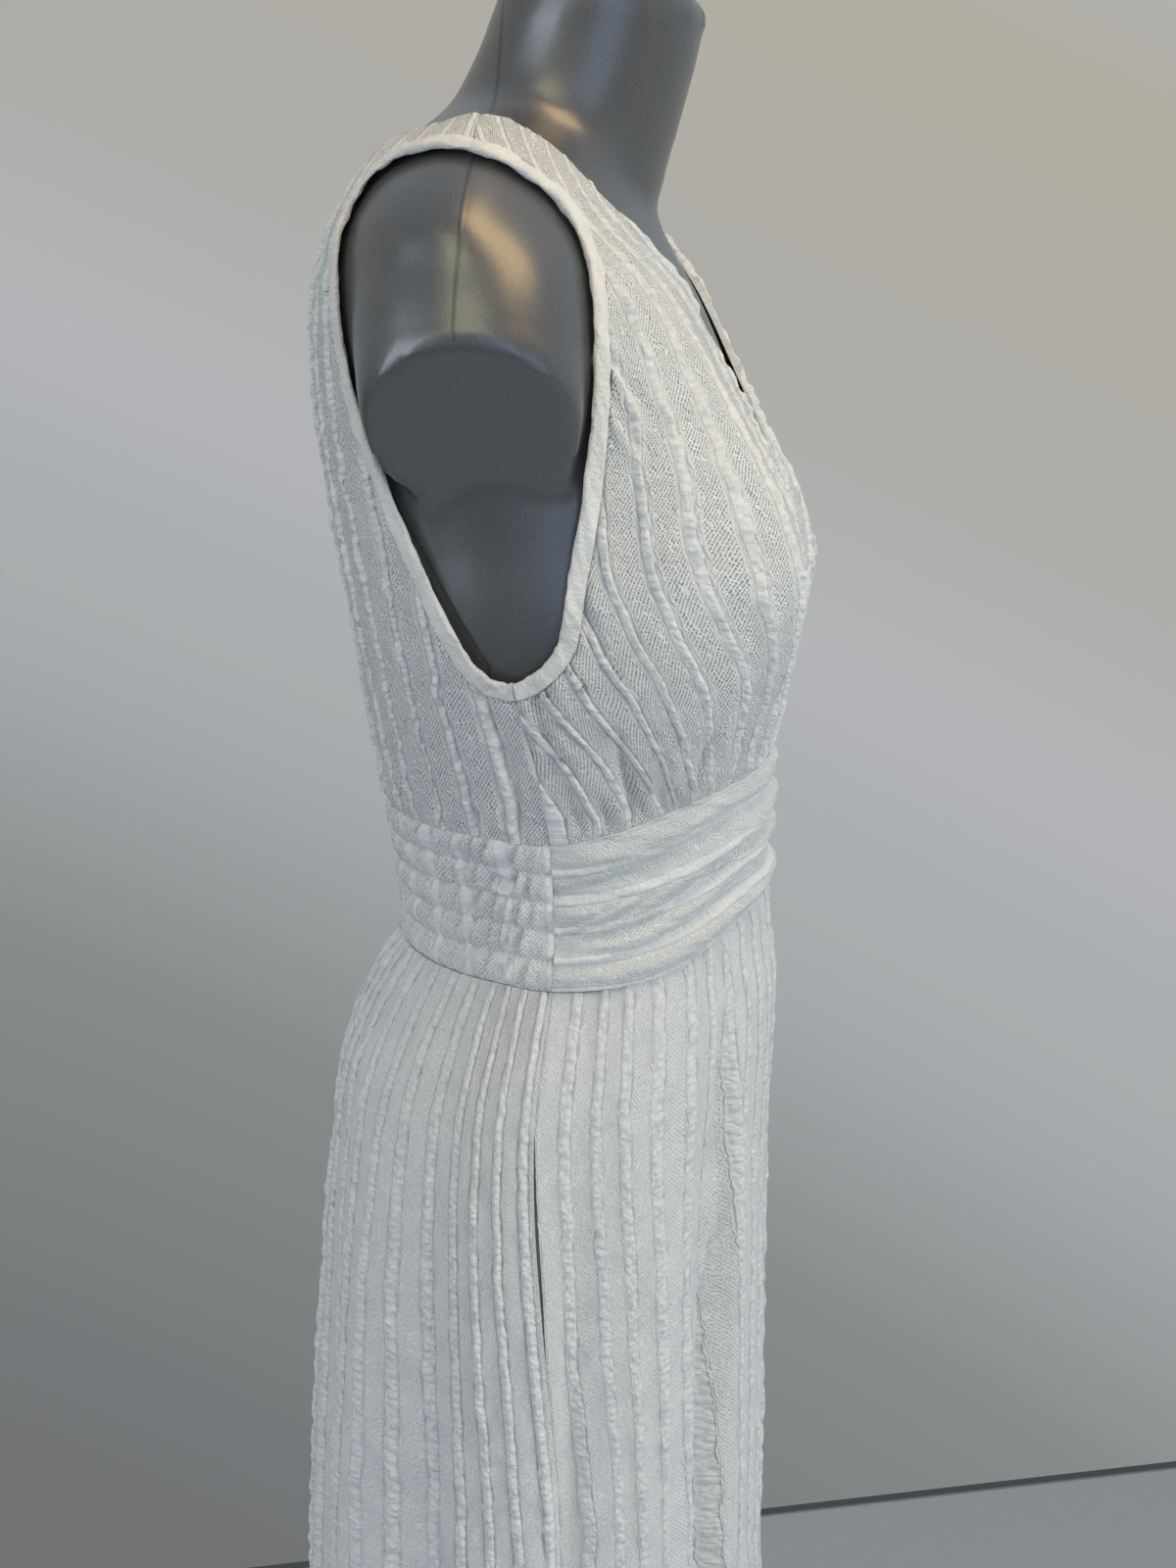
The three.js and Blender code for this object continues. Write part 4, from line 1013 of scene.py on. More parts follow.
BACK_CREASES = table(
    CREASE_COLUMNS,
    (100, 1140, 96, 1078, 1, -3.6, 3.4, 0),
    (98, 1060, 95, 1128, 0, -3.0, 3.6, 0),
    (104, 1060, 103, 1096, 0, 2.0, 4.0, 0),
    (110, 1060, 108, 1118, 1, -2.8, 3.2, 0),
    (118, 1060, 117, 1090, 0, 1.8, 4.0, 0),
    (125, 1060, 124, 1124, -1, -2.6, 3.4, 0),
    (134, 1060, 133, 1096, 0, 1.8, 4.0, 0),
    (141, 1060, 141, 1112, 0, -2.6, 3.4, 0),
    (151, 1060, 150, 1100, 0, 1.8, 4.2, 0),
    (159, 1060, 160, 1120, 1, -2.8, 3.4, 0),
    (169, 1060, 169, 1092, 0, 1.8, 4.0, 0),
    (178, 1060, 178, 1116, 0, -2.6, 3.4, 0),
    (188, 1060, 188, 1096, 0, 1.8, 4.0, 0),
    (196, 1060, 195, 1122, 0, -2.8, 3.4, 0),
    (207, 1060, 208, 1098, 0, 1.8, 4.2, 0),
    (216, 1060, 217, 1112, 0, -2.4, 3.4, 0),
    (226, 1060, 227, 1094, 0, 1.8, 4.0, 0),
    (235, 1060, 236, 1120, 0, -2.8, 3.4, 0),
    (246, 1060, 247, 1096, 0, 1.8, 4.0, 0),
    (254, 1060, 256, 1114, 0, -2.6, 3.4, 0),
    (262, 1060, 264, 1124, 0, -2.8, 3.4, 0),
)


def bodice_relief(angle, z, count, crease_tables, fine):
    """Height of the bodice's cloth over its surface."""
    above = z - band_edge("top", angle)
    relief = sum(creases(named, angle, z) for named in crease_tables)
    relief = relief * mix(0.15, 1, smooth(0, 10, above))
    free = smooth(0, 30, above) * mix(1, 0.4, smooth(1180, 1260, z))
    relief = relief - 0.7 * (1 - smooth(0, 5, above)) + sway(count, z, 1.6) * free
    if fine:
        near = np.rint(count)
        calm = 1 - 0.85 * smooth(1335, 1395, z)
        ribbon = pucker((count - near) / 0.1, z, near, 2.2, 7.0, -0.3)
        relief = relief + ribbon * calm * mix(0.5, 1, smooth(0, 8, above))
        relief = relief + 0.34 * crinkle(count * 4, z / 9, 3)
        relief = relief + 0.26 * crinkle(count * 9, z / 4.5, 4)
    return relief


def rolled(distance, amount=1.3, over=2.6):
    """Turns a border in, as where cloth goes into a seam or is folded back."""
    return -amount * (1 - smooth(0, over, distance))


# %% Bodice pieces
BODICE_WIDTH, BODICE_HEIGHT = 205.0, 340


def front_shape(sign):
    def shape(u, v, depth):
        inset_u, inset_v = mix(0.0005, 0.9995, u), mix(0.0004, 0.9996, v)
        angle, z = patch(
            inset_u,
            inset_v,
            bottom=lambda t: evenly(lambda s: band_top(90 * s), t),
            right=joined(side_line, front_armhole, SIDE_PART),
            top=lambda t: evenly(straight(shoulder_inner, shoulder_outer), t),
            left=joined(centre_front, lambda t: evenly(neck_path, t), SIDE_PART),
        )
        count = strayed(front_count(angle, z), z)
        relief = bodice_relief(angle, z, count, (FRONT_CREASES, ARMHOLE_CREASES), depth == 0)
        relief += rolled(u * BODICE_WIDTH) + rolled((1 - u) * BODICE_WIDTH, 0.9)
        relief += rolled((1 - v) * BODICE_HEIGHT, 0.7)
        points = raised(angle, z, relief - depth)
        points[:, 0] *= sign
        return points, np.stack([count * STRIPE, z], -1)

    return shape


FRONT_GRID, BACK_GRID = (192, 221), (138, 221)
bodice_front_right = shell("bodice_front_right", FRONT_GRID, (64, 85), [front_shape(1)])
bodice_front_left = shell("bodice_front_left", FRONT_GRID, (64, 85), [front_shape(-1)])

# %% [markdown]
# ## Bodice back: two halves welded
# The back's neck is a scoop, so one patch would fold over at the middle. Two halves, each with a
# column that follows the centre back and then the scoop, weld into one sheet without a seam.

# %% Back of the bodice
CENTRE_LEVEL = 1118


def scoop(t):
    inner_angle, inner_z = shoulder_inner
    return mix(180.0, inner_angle, t), mix(float(BACK_NECK), inner_z, 1 - np.cos(np.pi / 2 * t))


def back_shape(mirrored):
    centre_base = one(band_top(np.array([180.0])))
    level, neck = (180.0, float(CENTRE_LEVEL)), (180.0, float(BACK_NECK))
    centre = joined(
        lambda t: evenly(straight(centre_base, level), t),
        lambda t: evenly(straight(level, neck), t),
        SIDE_GROUPS / CENTRE_GROUPS,
    )

    def shape(u, v, depth):
        angle, z = patch(
            mix(0.0005, 1, u),
            mix(0.0004, 0.9996, v),
            bottom=lambda t: evenly(lambda s: band_top(90 + 90 * s), t),
            right=joined(centre, lambda t: evenly(scoop, t), CENTRE_PART),
            top=lambda t: evenly(straight(shoulder_outer, shoulder_inner), t),
            left=joined(side_line, back_armhole, SIDE_PART),
        )
        angle = np.where(u == 1, np.where(v <= CENTRE_PART, 180, angle), angle)
        if mirrored:
            angle = 360 - angle
        count = strayed(back_count(angle, z), z)
        relief = bodice_relief(angle, z, count, (BACK_CREASES,), depth == 0)
        from_neck = np.where(v > CENTRE_PART, (1 - u) * BODICE_WIDTH, BODICE_WIDTH)
        relief += rolled(u * BODICE_WIDTH, 0.9) + rolled((1 - v) * BODICE_HEIGHT, 0.7)
        relief += rolled(from_neck)
        return raised(angle, z, relief - depth), np.stack([count * STRIPE, z], -1)

    return shape


back_halves = [back_shape(False), back_shape(True)]
bodice_back = shell("bodice_back", BACK_GRID, (46, 85), back_halves, weld=0.05)

# %% [markdown]
# ## Waistband
# In front a wide strip is laid in soft crosswise drapes, caught together at both side seams. At
# the back five rows of elastic draw the cloth into channels, which buckle into short slanted
# creases between the rows of stitching. The cloth is used sideways here, so its fine lines run
# round the waist.

# %% Drapes and channels
BAND_DRAPES = table(
    "side centre rise spread",
    (0.07, 0.14, 5.4, 6.5),
    (0.14, 0.34, -3.0, 3.0),
    (0.21, 0.48, 4.2, 6),
    (0.27, 0.60, -3.6, 2.8),
    (0.46, 0.70, 4.8, 7),
    (0.66, 0.82, -3.0, 3.0),
    (0.85, 0.92, 3.2, 6),
)
BAND_CREASES = table(
    CREASE_COLUMNS,
    (89, 1008, 50, 1044, 3, -2.8, 2.4, 0),
    (88, 1014, 64, 1036, 2, -2.4, 2.2, 0),
    (89, 1030, 66, 1034, 1, -2.0, 2.0, 0),
    (89, 1046, 60, 1052, 1, -1.2, 1.8, 0),
    (88, 1000, 60, 1010, 2, -2.2, 2.2, 0),
    (89, 1021, 74, 1024, 0, 1.6, 2.6, 0),
    (-89, 1006, -52, 1040, -3, -2.6, 2.4, 0),
    (-88, 1015, -66, 1034, -2, -2.2, 2.2, 0),
    (-89, 1029, -64, 1036, -1, -2.0, 2.0, 0),
    (-89, 1045, -62, 1052, -1, -1.4, 1.8, 0),
    (-88, 999, -58, 1008, -2, -2.0, 2.2, 0),
    (-89, 1022, -73, 1025, 0, 1.6, 2.6, 0),
    (40, 1062, -20, 1066, 2, -1.4, 2.4, 1),
    (22, 1030, -46, 1020, 2, -1.6, 2.4, 1),
    (64, 1020, 18, 1050, 3, -1.2, 2.2, 1),
)
CHANNELS = 5
CREASE_APART = 9.2
BAND_LENGTH, BAND_HEIGHT, DRAPED_WIDTH = 380, 80, 118
WAIST_LEVEL = 1020


def drapes(angle, z, share):
    sideways = np.abs(angle) / 90
    height = band_edge("top", angle) - band_edge("bottom", angle)
    caught = 1 - smooth(0.86, 1, sideways) * 0.55
    total = np.zeros_like(z)
    for row in rows_of(BAND_DRAPES):
        level = mix(row["centre"], row["side"], sideways)
        total += row["rise"] * caught * bell((share - level) * height, row["spread"])
    return total + creases(BAND_CREASES, angle, z)


def shirring(angle, share, round_mm):
    """Five puffed channels, each buckled into slanted creases."""
    channel = np.clip(np.floor(share * CHANNELS), 0, CHANNELS - 1)
    puff = np.abs(np.sin(np.pi * CHANNELS * share)) ** 0.5
    slant = 4.5 * (share * CHANNELS - channel - 0.5)
    phase = (round_mm + slant) / CREASE_APART + 0.8 * ripple(round_mm / 17, channel + 30)
    turned = (phase + 0.4 * channel) % 1
    buckle = turned * (1 - smooth(0.72, 0.88, turned)) - 0.3 - 0.6 * bell(turned - 0.89, 0.075)
    from_joint = np.minimum(np.abs(angle - 90), np.abs(angle - 270))
    strength = smooth(2, 12, from_joint) * (1 + 0.3 * ripple(round_mm / 15, channel + 50))
    return 2.4 * puff - 1.7 + 5.0 * buckle * puff * strength


# %% Waistband pieces


def band_shape(low, high, is_front):
    def shape(u, v, depth):
        along = mix(0.0003, 0.9997, u)
        angle = evenly(lambda s: band_bottom(mix(low, high, s)), along)[0]
        bottom, top = band_edge("bottom", angle) + SEAM / 2, band_edge("top", angle) - SEAM / 2
        z = mix(bottom, top, v)
        share = (z - bottom) / (top - bottom)
        round_mm = along * arc_table(low, high, WAIST_LEVEL)[1][-1]
        if is_front:
            relief = drapes(angle, z, share)
            across = share * DRAPED_WIDTH
            count = across / STRIPE
            if depth == 0:
                off = (count - np.rint(count)) / 0.13
                relief += pucker(off, round_mm, np.rint(count) + 60, 0.9, 12)
                relief += 0.75 * crinkle(round_mm / 18, z / 3.2, 5)
                relief += 0.35 * crinkle(round_mm / 8, z / 2.4, 6)
            place = np.stack([across, round_mm], -1)
        else:
            relief = shirring(angle, share, round_mm)
            if depth == 0:
                relief += 0.45 * crinkle(round_mm / 4, z / 5, 7)
            place = np.stack([round_mm, z], -1)
        relief += rolled(v * BAND_HEIGHT, 0.9) + rolled((1 - v) * BAND_HEIGHT, 0.8) + 0.6
        relief += rolled(u * BAND_LENGTH, 0.5, 2.0) + rolled((1 - u) * BAND_LENGTH, 0.5, 2.0)
        return raised(angle, z, relief - depth), place

    return shape


waistband_front = shell("waistband_front", (345, 93), (115, 31), [band_shape(-90, 90, True)])
waistband_back = shell("waistband_back", (348, 84), (174, 42), [band_shape(90, 270, False)])

# %% [markdown]
# ## Armhole binding
# A strip of bias tape is folded over the raw edge of each armhole: out over the cloth, round the
# rim and back inside. The section is that folded strip, and it is carried round the armhole. The
# tape is slightly crinkled because it is stretched round the curve, with a row of stitching near
# its edge.

# %% Folded tape round the armhole
TAPE_SECTION = [(9.3, 0.1), (8.6, 1.2), (6.6, 1.75), (4.4, 1.7), (2.4, 1.75), (0.9, 1.35)]
TAPE_SECTION += [(0.2, 0.1), (0.9, -1.2), (2.6, -1.55), (5.0, -1.6), (7.6, -1.55), (9.3, -1.4)]
TAPE_LENGTH, TAPE_WIDTH, STITCH_LINE = 610, 24, 6.9


def tape_shape(sign):
    def shape(u, v, depth):
        out, up = through(TAPE_SECTION, v).T
        t = u % 1
        length = t * TAPE_LENGTH
        radius = TAPE_LENGTH / (2 * np.pi)
        x, y = radius * (np.cos(2 * np.pi * t) + 2), radius * (np.sin(2 * np.pi * t) + 2)
        bulge = crinkle(x / 7 + v * 4, y / 7 - v * 4, 1)
        bulge = bulge + 0.4 * crinkle(x / 3 + v * 9, y / 3, 2)
        if depth:
            out, up, bulge = out + 0.5 * (out < 4), up * 0.45, 0
        stitches = -0.4 * bell(out - STITCH_LINE, 0.8) * (up > 0)
        up = up + (bulge + stitches) * np.sign(up) * smooth(0, 0.8, np.abs(up))
        waver = 0.5 * crinkle(x / 9, y / 9, 3) + 0.35 * crinkle(x / 4, y / 4, 4)
        out = out + waver * (depth == 0)
        angle, z = moved(*armhole_rim(t), away_from_armhole(t) * out[:, None])
        points = raised(angle, z, up - CLOTH / 2 + 0.6)
        points[:, 0] *= sign
        return points, np.stack([v * TAPE_WIDTH, length], -1)

    return shape


def binding(name, sign):
    rims = ((-1, TAPE_WIDTH / 2), (TAPE_WIDTH / 2, TAPE_WIDTH + 1))
    return shell(name, (440, 22), (220, 11), [tape_shape(sign)], weld=0.02, rims=rims)


binding_right = binding("armhole_binding_right", 1)
binding_left = binding("armhole_binding_left", -1)

# %% [markdown]
# ## Pocket bags
# Each pocket bag is a flat bag of thin cotton that hangs behind the slit in the side seam. Only
# its upper layer can be seen, through the slit. It follows the skirt a little below its inner
# face.

# %% Pocket bags
POCKET_TOP = 930
POCKET_BOTTOM = 765
POCKET_WIDTH = 118
POCKET_CLEARANCE = 1.5


def pocket_shape(sign):
    def shape(u, v, depth):
        z = mix(POCKET_BOTTOM, POCKET_TOP, v)
        reach = POCKET_WIDTH * mix(0.88, 1, smooth(POCKET_BOTTOM + 5, POCKET_BOTTOM + 47, z))
        turn = reach / (DEGREE * section_at(z)["half"] * 0.95)
        angle = sign * mix(side_seam(z) - turn * 0.8, side_seam(z) + turn * 0.2, u)
        down = CLOTH + POCKET_CLEARANCE + np.maximum(skirt_folds(angle, z), 0)
        wave = 0.5 * crinkle(u * 6, z / 22, 2) - 0.5
        points = raised(angle, z, skirt_folds(angle, z) - down + wave - depth * 1.1)
        return points, np.stack([u * POCKET_WIDTH, z], -1)

    return shape


pocket_right = shell("pocket_bag_right", (44, 60), (22, 30), [pocket_shape(1)])
pocket_left = shell("pocket_bag_left", (44, 60), (22, 30), [pocket_shape(-1)])

# %% [markdown]
# ## The form
# The dress is shown on a hollow plastic form with a cut-off neck and two short shoulder stubs.
# Four tubes of rings, for the torso, the neck and the two stubs, are closed and put into one
# mesh. A voxel remesh joins them, which a sculptor would do in the same way, and a smoothing pass
# rounds the joins.

# %% Rings of the form
FORM_HIPS = table(
    "z half ridge front back",
    (1022, 115, -3, -94, 88),
    (986, 117, -3, -94, 87),
    (950, 127, 2, -91, 98),
    (900, 144, 7, -85, 112),
    (850, 152, 10, -81, 118),
    (800, 155, 11, -79, 119),
    (760, 152, 11, -76, 114),
    (735, 142, 10, -68, 100),
    (719, 124, 8, -60, 78),
    (712, 84, 5, -36, 48),
)
FORM_LOW, FORM_HIGH, HIPS_TOP = 712.0, 1418.0, 1022
FORM_CLEARANCE = table(
    "z gap", (1022, 7), (1080, 8), (1200, 7), (1270, 5.8), (1310, 5.0), (1370, 4.3), (1411, 3.8)
)
NECK_RINGS = table(
    "step y z tilt depth half",
    (0, 22, 1350, 0, 58, 54),
    (1, 16, 1385, 6, 61, 57),
    (2, 5, 1410, 13, 57, 54.5),
    (3, -5, 1434, 20, 54, 53),
    (4, -14, 1460, 26, 53, 52),
    (5, -19, 1474, 28, 51.5, 51),
    (6, -22.5, 1481, 28, 48, 47.5),
    (7, -24.5, 1484.5, 28, 41, 41),
)
STUB_RINGS = table(
    "step x y z depth across tilt",
    (0, -62, 37, 1345, 54, 43, 30),
    (1, -98, 37, 1326, 59, 53, 32),
    (2, -124, 35, 1306, 58, 54.5, 32),
    (3, -142, 32.5, 1286, 55, 51, 30),
    (4, -155, 30, 1266, 52, 47.5, 27),
    (5, -158, 29.5, 1262, 50.5, 46, 26),
)


# %% Tubes of the form


def torso_point(turn, v):
    """Rings from the rounded end up over the shoulders."""
    z = mix(FORM_LOW, FORM_HIGH, v)
    low = np.minimum(z, HIPS_TOP)
    hips = {name: read(FORM_HIPS, "z", name, low) for name in FORM_HIPS if name != "z"}
    side, ahead = np.sin(turn * DEGREE), np.cos(turn * DEGREE)
    depth = np.where(ahead >= 0, hips["ridge"] - hips["front"], hips["back"] - hips["ridge"])
    below = np.stack([-hips["half"] * side, hips["ridge"] - depth * ahead, z], -1)
    above = raised(turn, z, -read(FORM_CLEARANCE, "z", "gap", z))
    return mix(below, above, smooth(1010, 1052, z)[:, None])


def neck_point(turn, v):
    step = v * NECK_RINGS["step"][-1]
    names = "y z tilt depth half".split()
    y, z, tilt, depth, half = (read(NECK_RINGS, "step", key, step) for key in names)
    ahead = depth * np.cos(turn * DEGREE)
    lean = tilt * DEGREE
    x = half * np.sin(turn * DEGREE)
    return np.stack([x, y - ahead * np.cos(lean), z - ahead * np.sin(lean)], -1)


def stub_point(sign):
    def point(turn, v):
        step = v * STUB_RINGS["step"][-1]
        names = "x y z depth across tilt".split()
        x, y, z, depth, across, tilt = (read(STUB_RINGS, "step", key, step) for key in names)
        high = across * np.sin(turn * DEGREE)
        px, pz = x - high * np.sin(tilt * DEGREE), z + high * np.cos(tilt * DEGREE)
        return np.stack([sign * px, y + depth * np.cos(turn * DEGREE), pz], -1)

    return point


def add_tube(bm, point, sides, rings):
    """A closed tube of rings: a grid, welded along one side and filled at both ends."""
    made = bmesh.ops.create_grid(bm, x_segments=sides, y_segments=rings, size=0.5)["verts"]
    u, v = grid_shares(made)
    for vertex, place in zip(made, point(360 * u, v) * MM):
        vertex.co = place
    bmesh.ops.remove_doubles(bm, verts=made, dist=0.01 * MM)
    made = [vertex for vertex in made if vertex.is_valid]
    rims = list({e for vertex in made for e in vertex.link_edges if e.is_boundary})
    bmesh.ops.holes_fill(bm, edges=rims, sides=0)
    faces = list({face for vertex in made for face in vertex.link_faces})
    bmesh.ops.recalc_face_normals(bm, faces=faces)


def apply_modifiers(piece):
    """Replaces the mesh by what its modifiers make of it."""
    depsgraph = bpy.context.evaluated_depsgraph_get()
    mesh = bpy.data.meshes.new_from_object(piece.evaluated_get(depsgraph))
    piece.modifiers.clear()
    piece.data = mesh
    return mesh


# %% Remesh the form
VOXEL = 4.6 * MM
NECK_ROOT = {"low": 1.378, "high": 1.452, "reach": 0.12}
STUB_ROOT = {"from_x": 0.1, "from_z": 1.262, "x": 0.683, "z": -0.728, "cut": -0.834}


def at_neck_root(point):
    return NECK_ROOT["low"] < point.z < NECK_ROOT["high"] and abs(point.x) < NECK_ROOT["reach"]


def at_stub_root(point):
    """Whether a place is on a stub or its root, but not on the cut face or its rim."""
    far = abs(point.x) > STUB_ROOT["from_x"] and point.z > STUB_ROOT["from_z"]
    return far and STUB_ROOT["x"] * abs(point.x) + STUB_ROOT["z"] * point.z < STUB_ROOT["cut"]


form_bm = bmesh.new()
add_tube(form_bm, torso_point, 120, 130)
add_tube(form_bm, neck_point, 80, 40)
for stub_side in (1, -1):
    add_tube(form_bm, stub_point(stub_side), 80, 40)
form_mesh = bpy.data.meshes.new("form_torso_smooth")
form_bm.to_mesh(form_mesh)
form_bm.free()
form = put("dress_form_torso", form_mesh)
remesh = form.modifiers.new("remesh", "REMESH")
remesh.mode = "VOXEL"
remesh.voxel_size = VOXEL
relax = form.modifiers.new("relax", "SMOOTH")
relax.factor, relax.iterations = 0.5, 3
form_mesh = apply_modifiers(form)
smooth_bm = bmesh.new()
smooth_bm.from_mesh(form_mesh)
all_ways = {f"use_axis_{axis}": True for axis in "xyz"}
roots = [
    ([vertex for vertex in smooth_bm.verts if inside(vertex.co)], rounds)
    for inside, rounds in ((at_neck_root, 21), (at_stub_root, 10))
]
for region, rounds in roots:
    for _ in range(rounds):
        bmesh.ops.smooth_vert(smooth_bm, verts=region, factor=0.5, **all_ways)
smooth_bm.to_mesh(form_mesh)
smooth_bm.free()
form_mesh.shade_smooth()
form_mesh.calc_loop_triangles()
print("form:", len(form_mesh.loop_triangles), "triangles")

# %% [markdown]
# ## Pearl-grey moulded plastic
# The form is blow-moulded plastic sprayed with a pearl-grey paint: fine metal flakes in a satin
# lacquer. That gives broad soft highlights and a darker edge. The flakes are drawn about a
# millimetre wide, and a faint orange-peel bump comes from the spray gun.

# %% Form material
SEAM_DEPTH = {"shoulder": 34 * MM, "low": 25 * MM, "high": 87 * MM}
SEAM_HEIGHT = {"shoulder": 1.304, "side": 1.243, "low": 1.15, "high": 1.25}


def form_plastic():
    material, tree = new_material("pearl_grey_sprayed_plastic")
    place = add_node(tree, "TexCoord", output="Object")
    flakes = add_node(tree, "TexNoise", {"Vector": place, "Scale": 1 / (0.9 * MM), "Detail": 2.0})
    peel = add_node(tree, "TexNoise", {"Vector": place, "Scale": 1 / (3.5 * MM), "Detail": 1.0})
    clouds = add_node(tree, "TexNoise", {"Vector": place, "Scale": 1 / (90 * MM), "Detail": 2.0})

    # the line where the two halves of the mould met: down each shoulder, then slanting to the side
    depth, height = add_node(tree, "SeparateXYZ", {"Vector": place}, slice(1, 3))
    slant = {"Value": height, "From Min": SEAM_HEIGHT["low"], "From Max": SEAM_HEIGHT["high"]}
    slant |= {"To Min": SEAM_DEPTH["low"], "To Max": SEAM_DEPTH["high"]}
    slant = add_node(tree, "MapRange", slant)
    upper = {0: height, 1: SEAM_HEIGHT["shoulder"]}
    upper = add_node(tree, "Math", upper, operation="GREATER_THAN")
    line = {"Factor": upper, "A": slant, "B": SEAM_DEPTH["shoulder"]}
    line = add_node(tree, "Mix", line, "Result")
    line = add_node(tree, "Math", {0: depth, 1: line}, operation="SUBTRACT")
    line = add_node(tree, "Math", {0: line}, operation="ABSOLUTE")
    line = add_node(tree, "MapRange", {"Value": line, "From Min": 1.5 * MM, "From Max": 0.2 * MM})
    lower = {0: height, 1: SEAM_HEIGHT["side"]}
    lower = add_node(tree, "Math", lower, operation="LESS_THAN")
    shown = add_node(tree, "Math", {0: upper, 1: lower}, operation="MAXIMUM")
    line = add_node(tree, "Math", {0: line, 1: shown}, operation="MULTIPLY")

    relief = add_node(tree, "Math", {0: line, 1: 3.0, 2: peel}, operation="MULTIPLY_ADD")
    bump = add_node(tree, "Bump", {"Height": relief, "Strength": 0.15, "Distance": 0.3 * MM})
    sparkle = {"Value": flakes, "From Min": 0.35, "From Max": 0.7}
    sparkle = add_node(tree, "MapRange", sparkle, interpolation_type="SMOOTHSTEP")
    tone = {"Factor": sparkle, "A": linear("#696b6d"), "B": linear("#737577")}
    tone = add_node(tree, "Mix", tone, "Result", data_type="RGBA")
    marked = add_node(tree, "Math", {0: line, 1: 0.5}, operation="MULTIPLY")
    tone = {"Factor": marked, "A": tone, "B": linear("#34373b")}
    tone = add_node(tree, "Mix", tone, "Result", data_type="RGBA")
    rough = add_node(tree, "Math", {0: clouds, 1: 0.1, 2: 0.3}, operation="MULTIPLY_ADD")
    finish = {"Base Color": tone, "Normal": bump, "Roughness": rough, "Metallic": 0.6}
    finish |= {"Coat Weight": 0.3, "Coat Roughness": 0.22}
    add_node(tree, "OutputMaterial", {"Surface": add_node(tree, "BsdfPrincipled", finish)})
    return material


pearl_plastic = form_plastic()

# %% [markdown]
# ## Stand: chromed steel and painted plate
# The pole, its collar and the socket under the form are turned and chromed. The base is a spun
# steel plate with satin paint. The CAD nodes are already right in shape, so they only get
# materials. Chrome has a faint turned grain round its axis, and the paint a fine speckle.

# %% Metal materials


def metal(name, colour, roughness, metallic, grain, speckle):
    material, tree = new_material(name)
    place = add_node(tree, "TexCoord", output="Object")
    stretched = add_node(tree, "Mapping", {"Vector": place, "Scale": (1, 1, grain)})
    lines = add_node(tree, "TexNoise", {"Vector": stretched, "Scale": 1 / (speckle * MM)})
    rough = {0: lines, 1: 0.12, 2: roughness - 0.06}
    rough = add_node(tree, "Math", rough, operation="MULTIPLY_ADD")
    bump = add_node(tree, "Bump", {"Height": lines, "Strength": 0.08, "Distance": 0.1 * MM})
    tone = {"Factor": lines, "A": linear(colour[0]), "B": linear(colour[1])}
    tone = add_node(tree, "Mix", tone, "Result", data_type="RGBA")
    finish = {"Base Color": tone, "Normal": bump, "Roughness": rough, "Metallic": metallic}
    add_node(tree, "OutputMaterial", {"Surface": add_node(tree, "BsdfPrincipled", finish)})
    return material


chrome = metal("chromed_turned_steel", ("#c4c7ca", "#d4d6d8"), 0.16, 1.0, 6.0, 2.0)
satin_paint = metal("satin_grey_enamel", ("#8d9095", "#96999d"), 0.42, 0.35, 1.0, 1.2)


def dress_node(node, material):
    cad_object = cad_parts[node]
    if not cad_object.material_slots:
        cad_object.data.materials.append(material)
    for slot in cad_object.material_slots:
        slot.material = material


for node in ("stand_pole", "stand_collar", "form_socket"):
    dress_node(node, chrome)
dress_node("stand_base", satin_paint)
print("stand: materials on pole, collar, socket and base")

# %% [markdown]
# ## Every piece in its place
# Each piece rides on the one body, stands for its CAD solid, which is then hidden, and gets its
# material.

# %% Say what each piece is
PIECES = [
    (bodice_front_right, "bodice_front_right", "bodice_cloth", bodice_jacquard),
    (bodice_front_left, "bodice_front_left", "bodice_cloth", bodice_jacquard),
    (bodice_back, "bodice_back", "bodice_cloth", bodice_jacquard),
    (binding_right, "armhole_binding_right", "binding_cloth", tape_crepe),
    (binding_left, "armhole_binding_left", "binding_cloth", tape_crepe),
    (waistband_front, "waistband_front", "waistband_cloth", band_jacquard),
    (waistband_back, "waistband_back", "waistband_cloth", band_jacquard),
    (skirt_front, "skirt_front", "skirt_cloth", skirt_jacquard),
    (skirt_back, "skirt_back", "skirt_cloth", skirt_jacquard),
    (pocket_right, "pocket_bag_right", "pocket_cloth", pocket_lawn),
    (pocket_left, "pocket_bag_left", "pocket_cloth", pocket_lawn),
    (form, "form_torso", "form_plastic", pearl_plastic),
]
for piece, node, slot, material in PIECES:
    piece.name = f"{node}_piece"
    piece.data.materials.clear()
    piece.data.materials.append(material)
    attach(piece, "root")
    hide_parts(node)

# %% [markdown]
# ## Studio
# A pale floor that ends in a dark joint, and a pale grey surround that is warmer in front and
# cooler behind, as the light of a room with a window is.

# %% Floor and surround
FLOOR = {"low_x": -1.9, "high_x": 1.088, "reach_y": 2.4, "yaw": -0.35, "top": -0.001}
JOINT = {"From Min": FLOOR["high_x"] - 0.02, "From Max": FLOOR["high_x"] - 0.012}


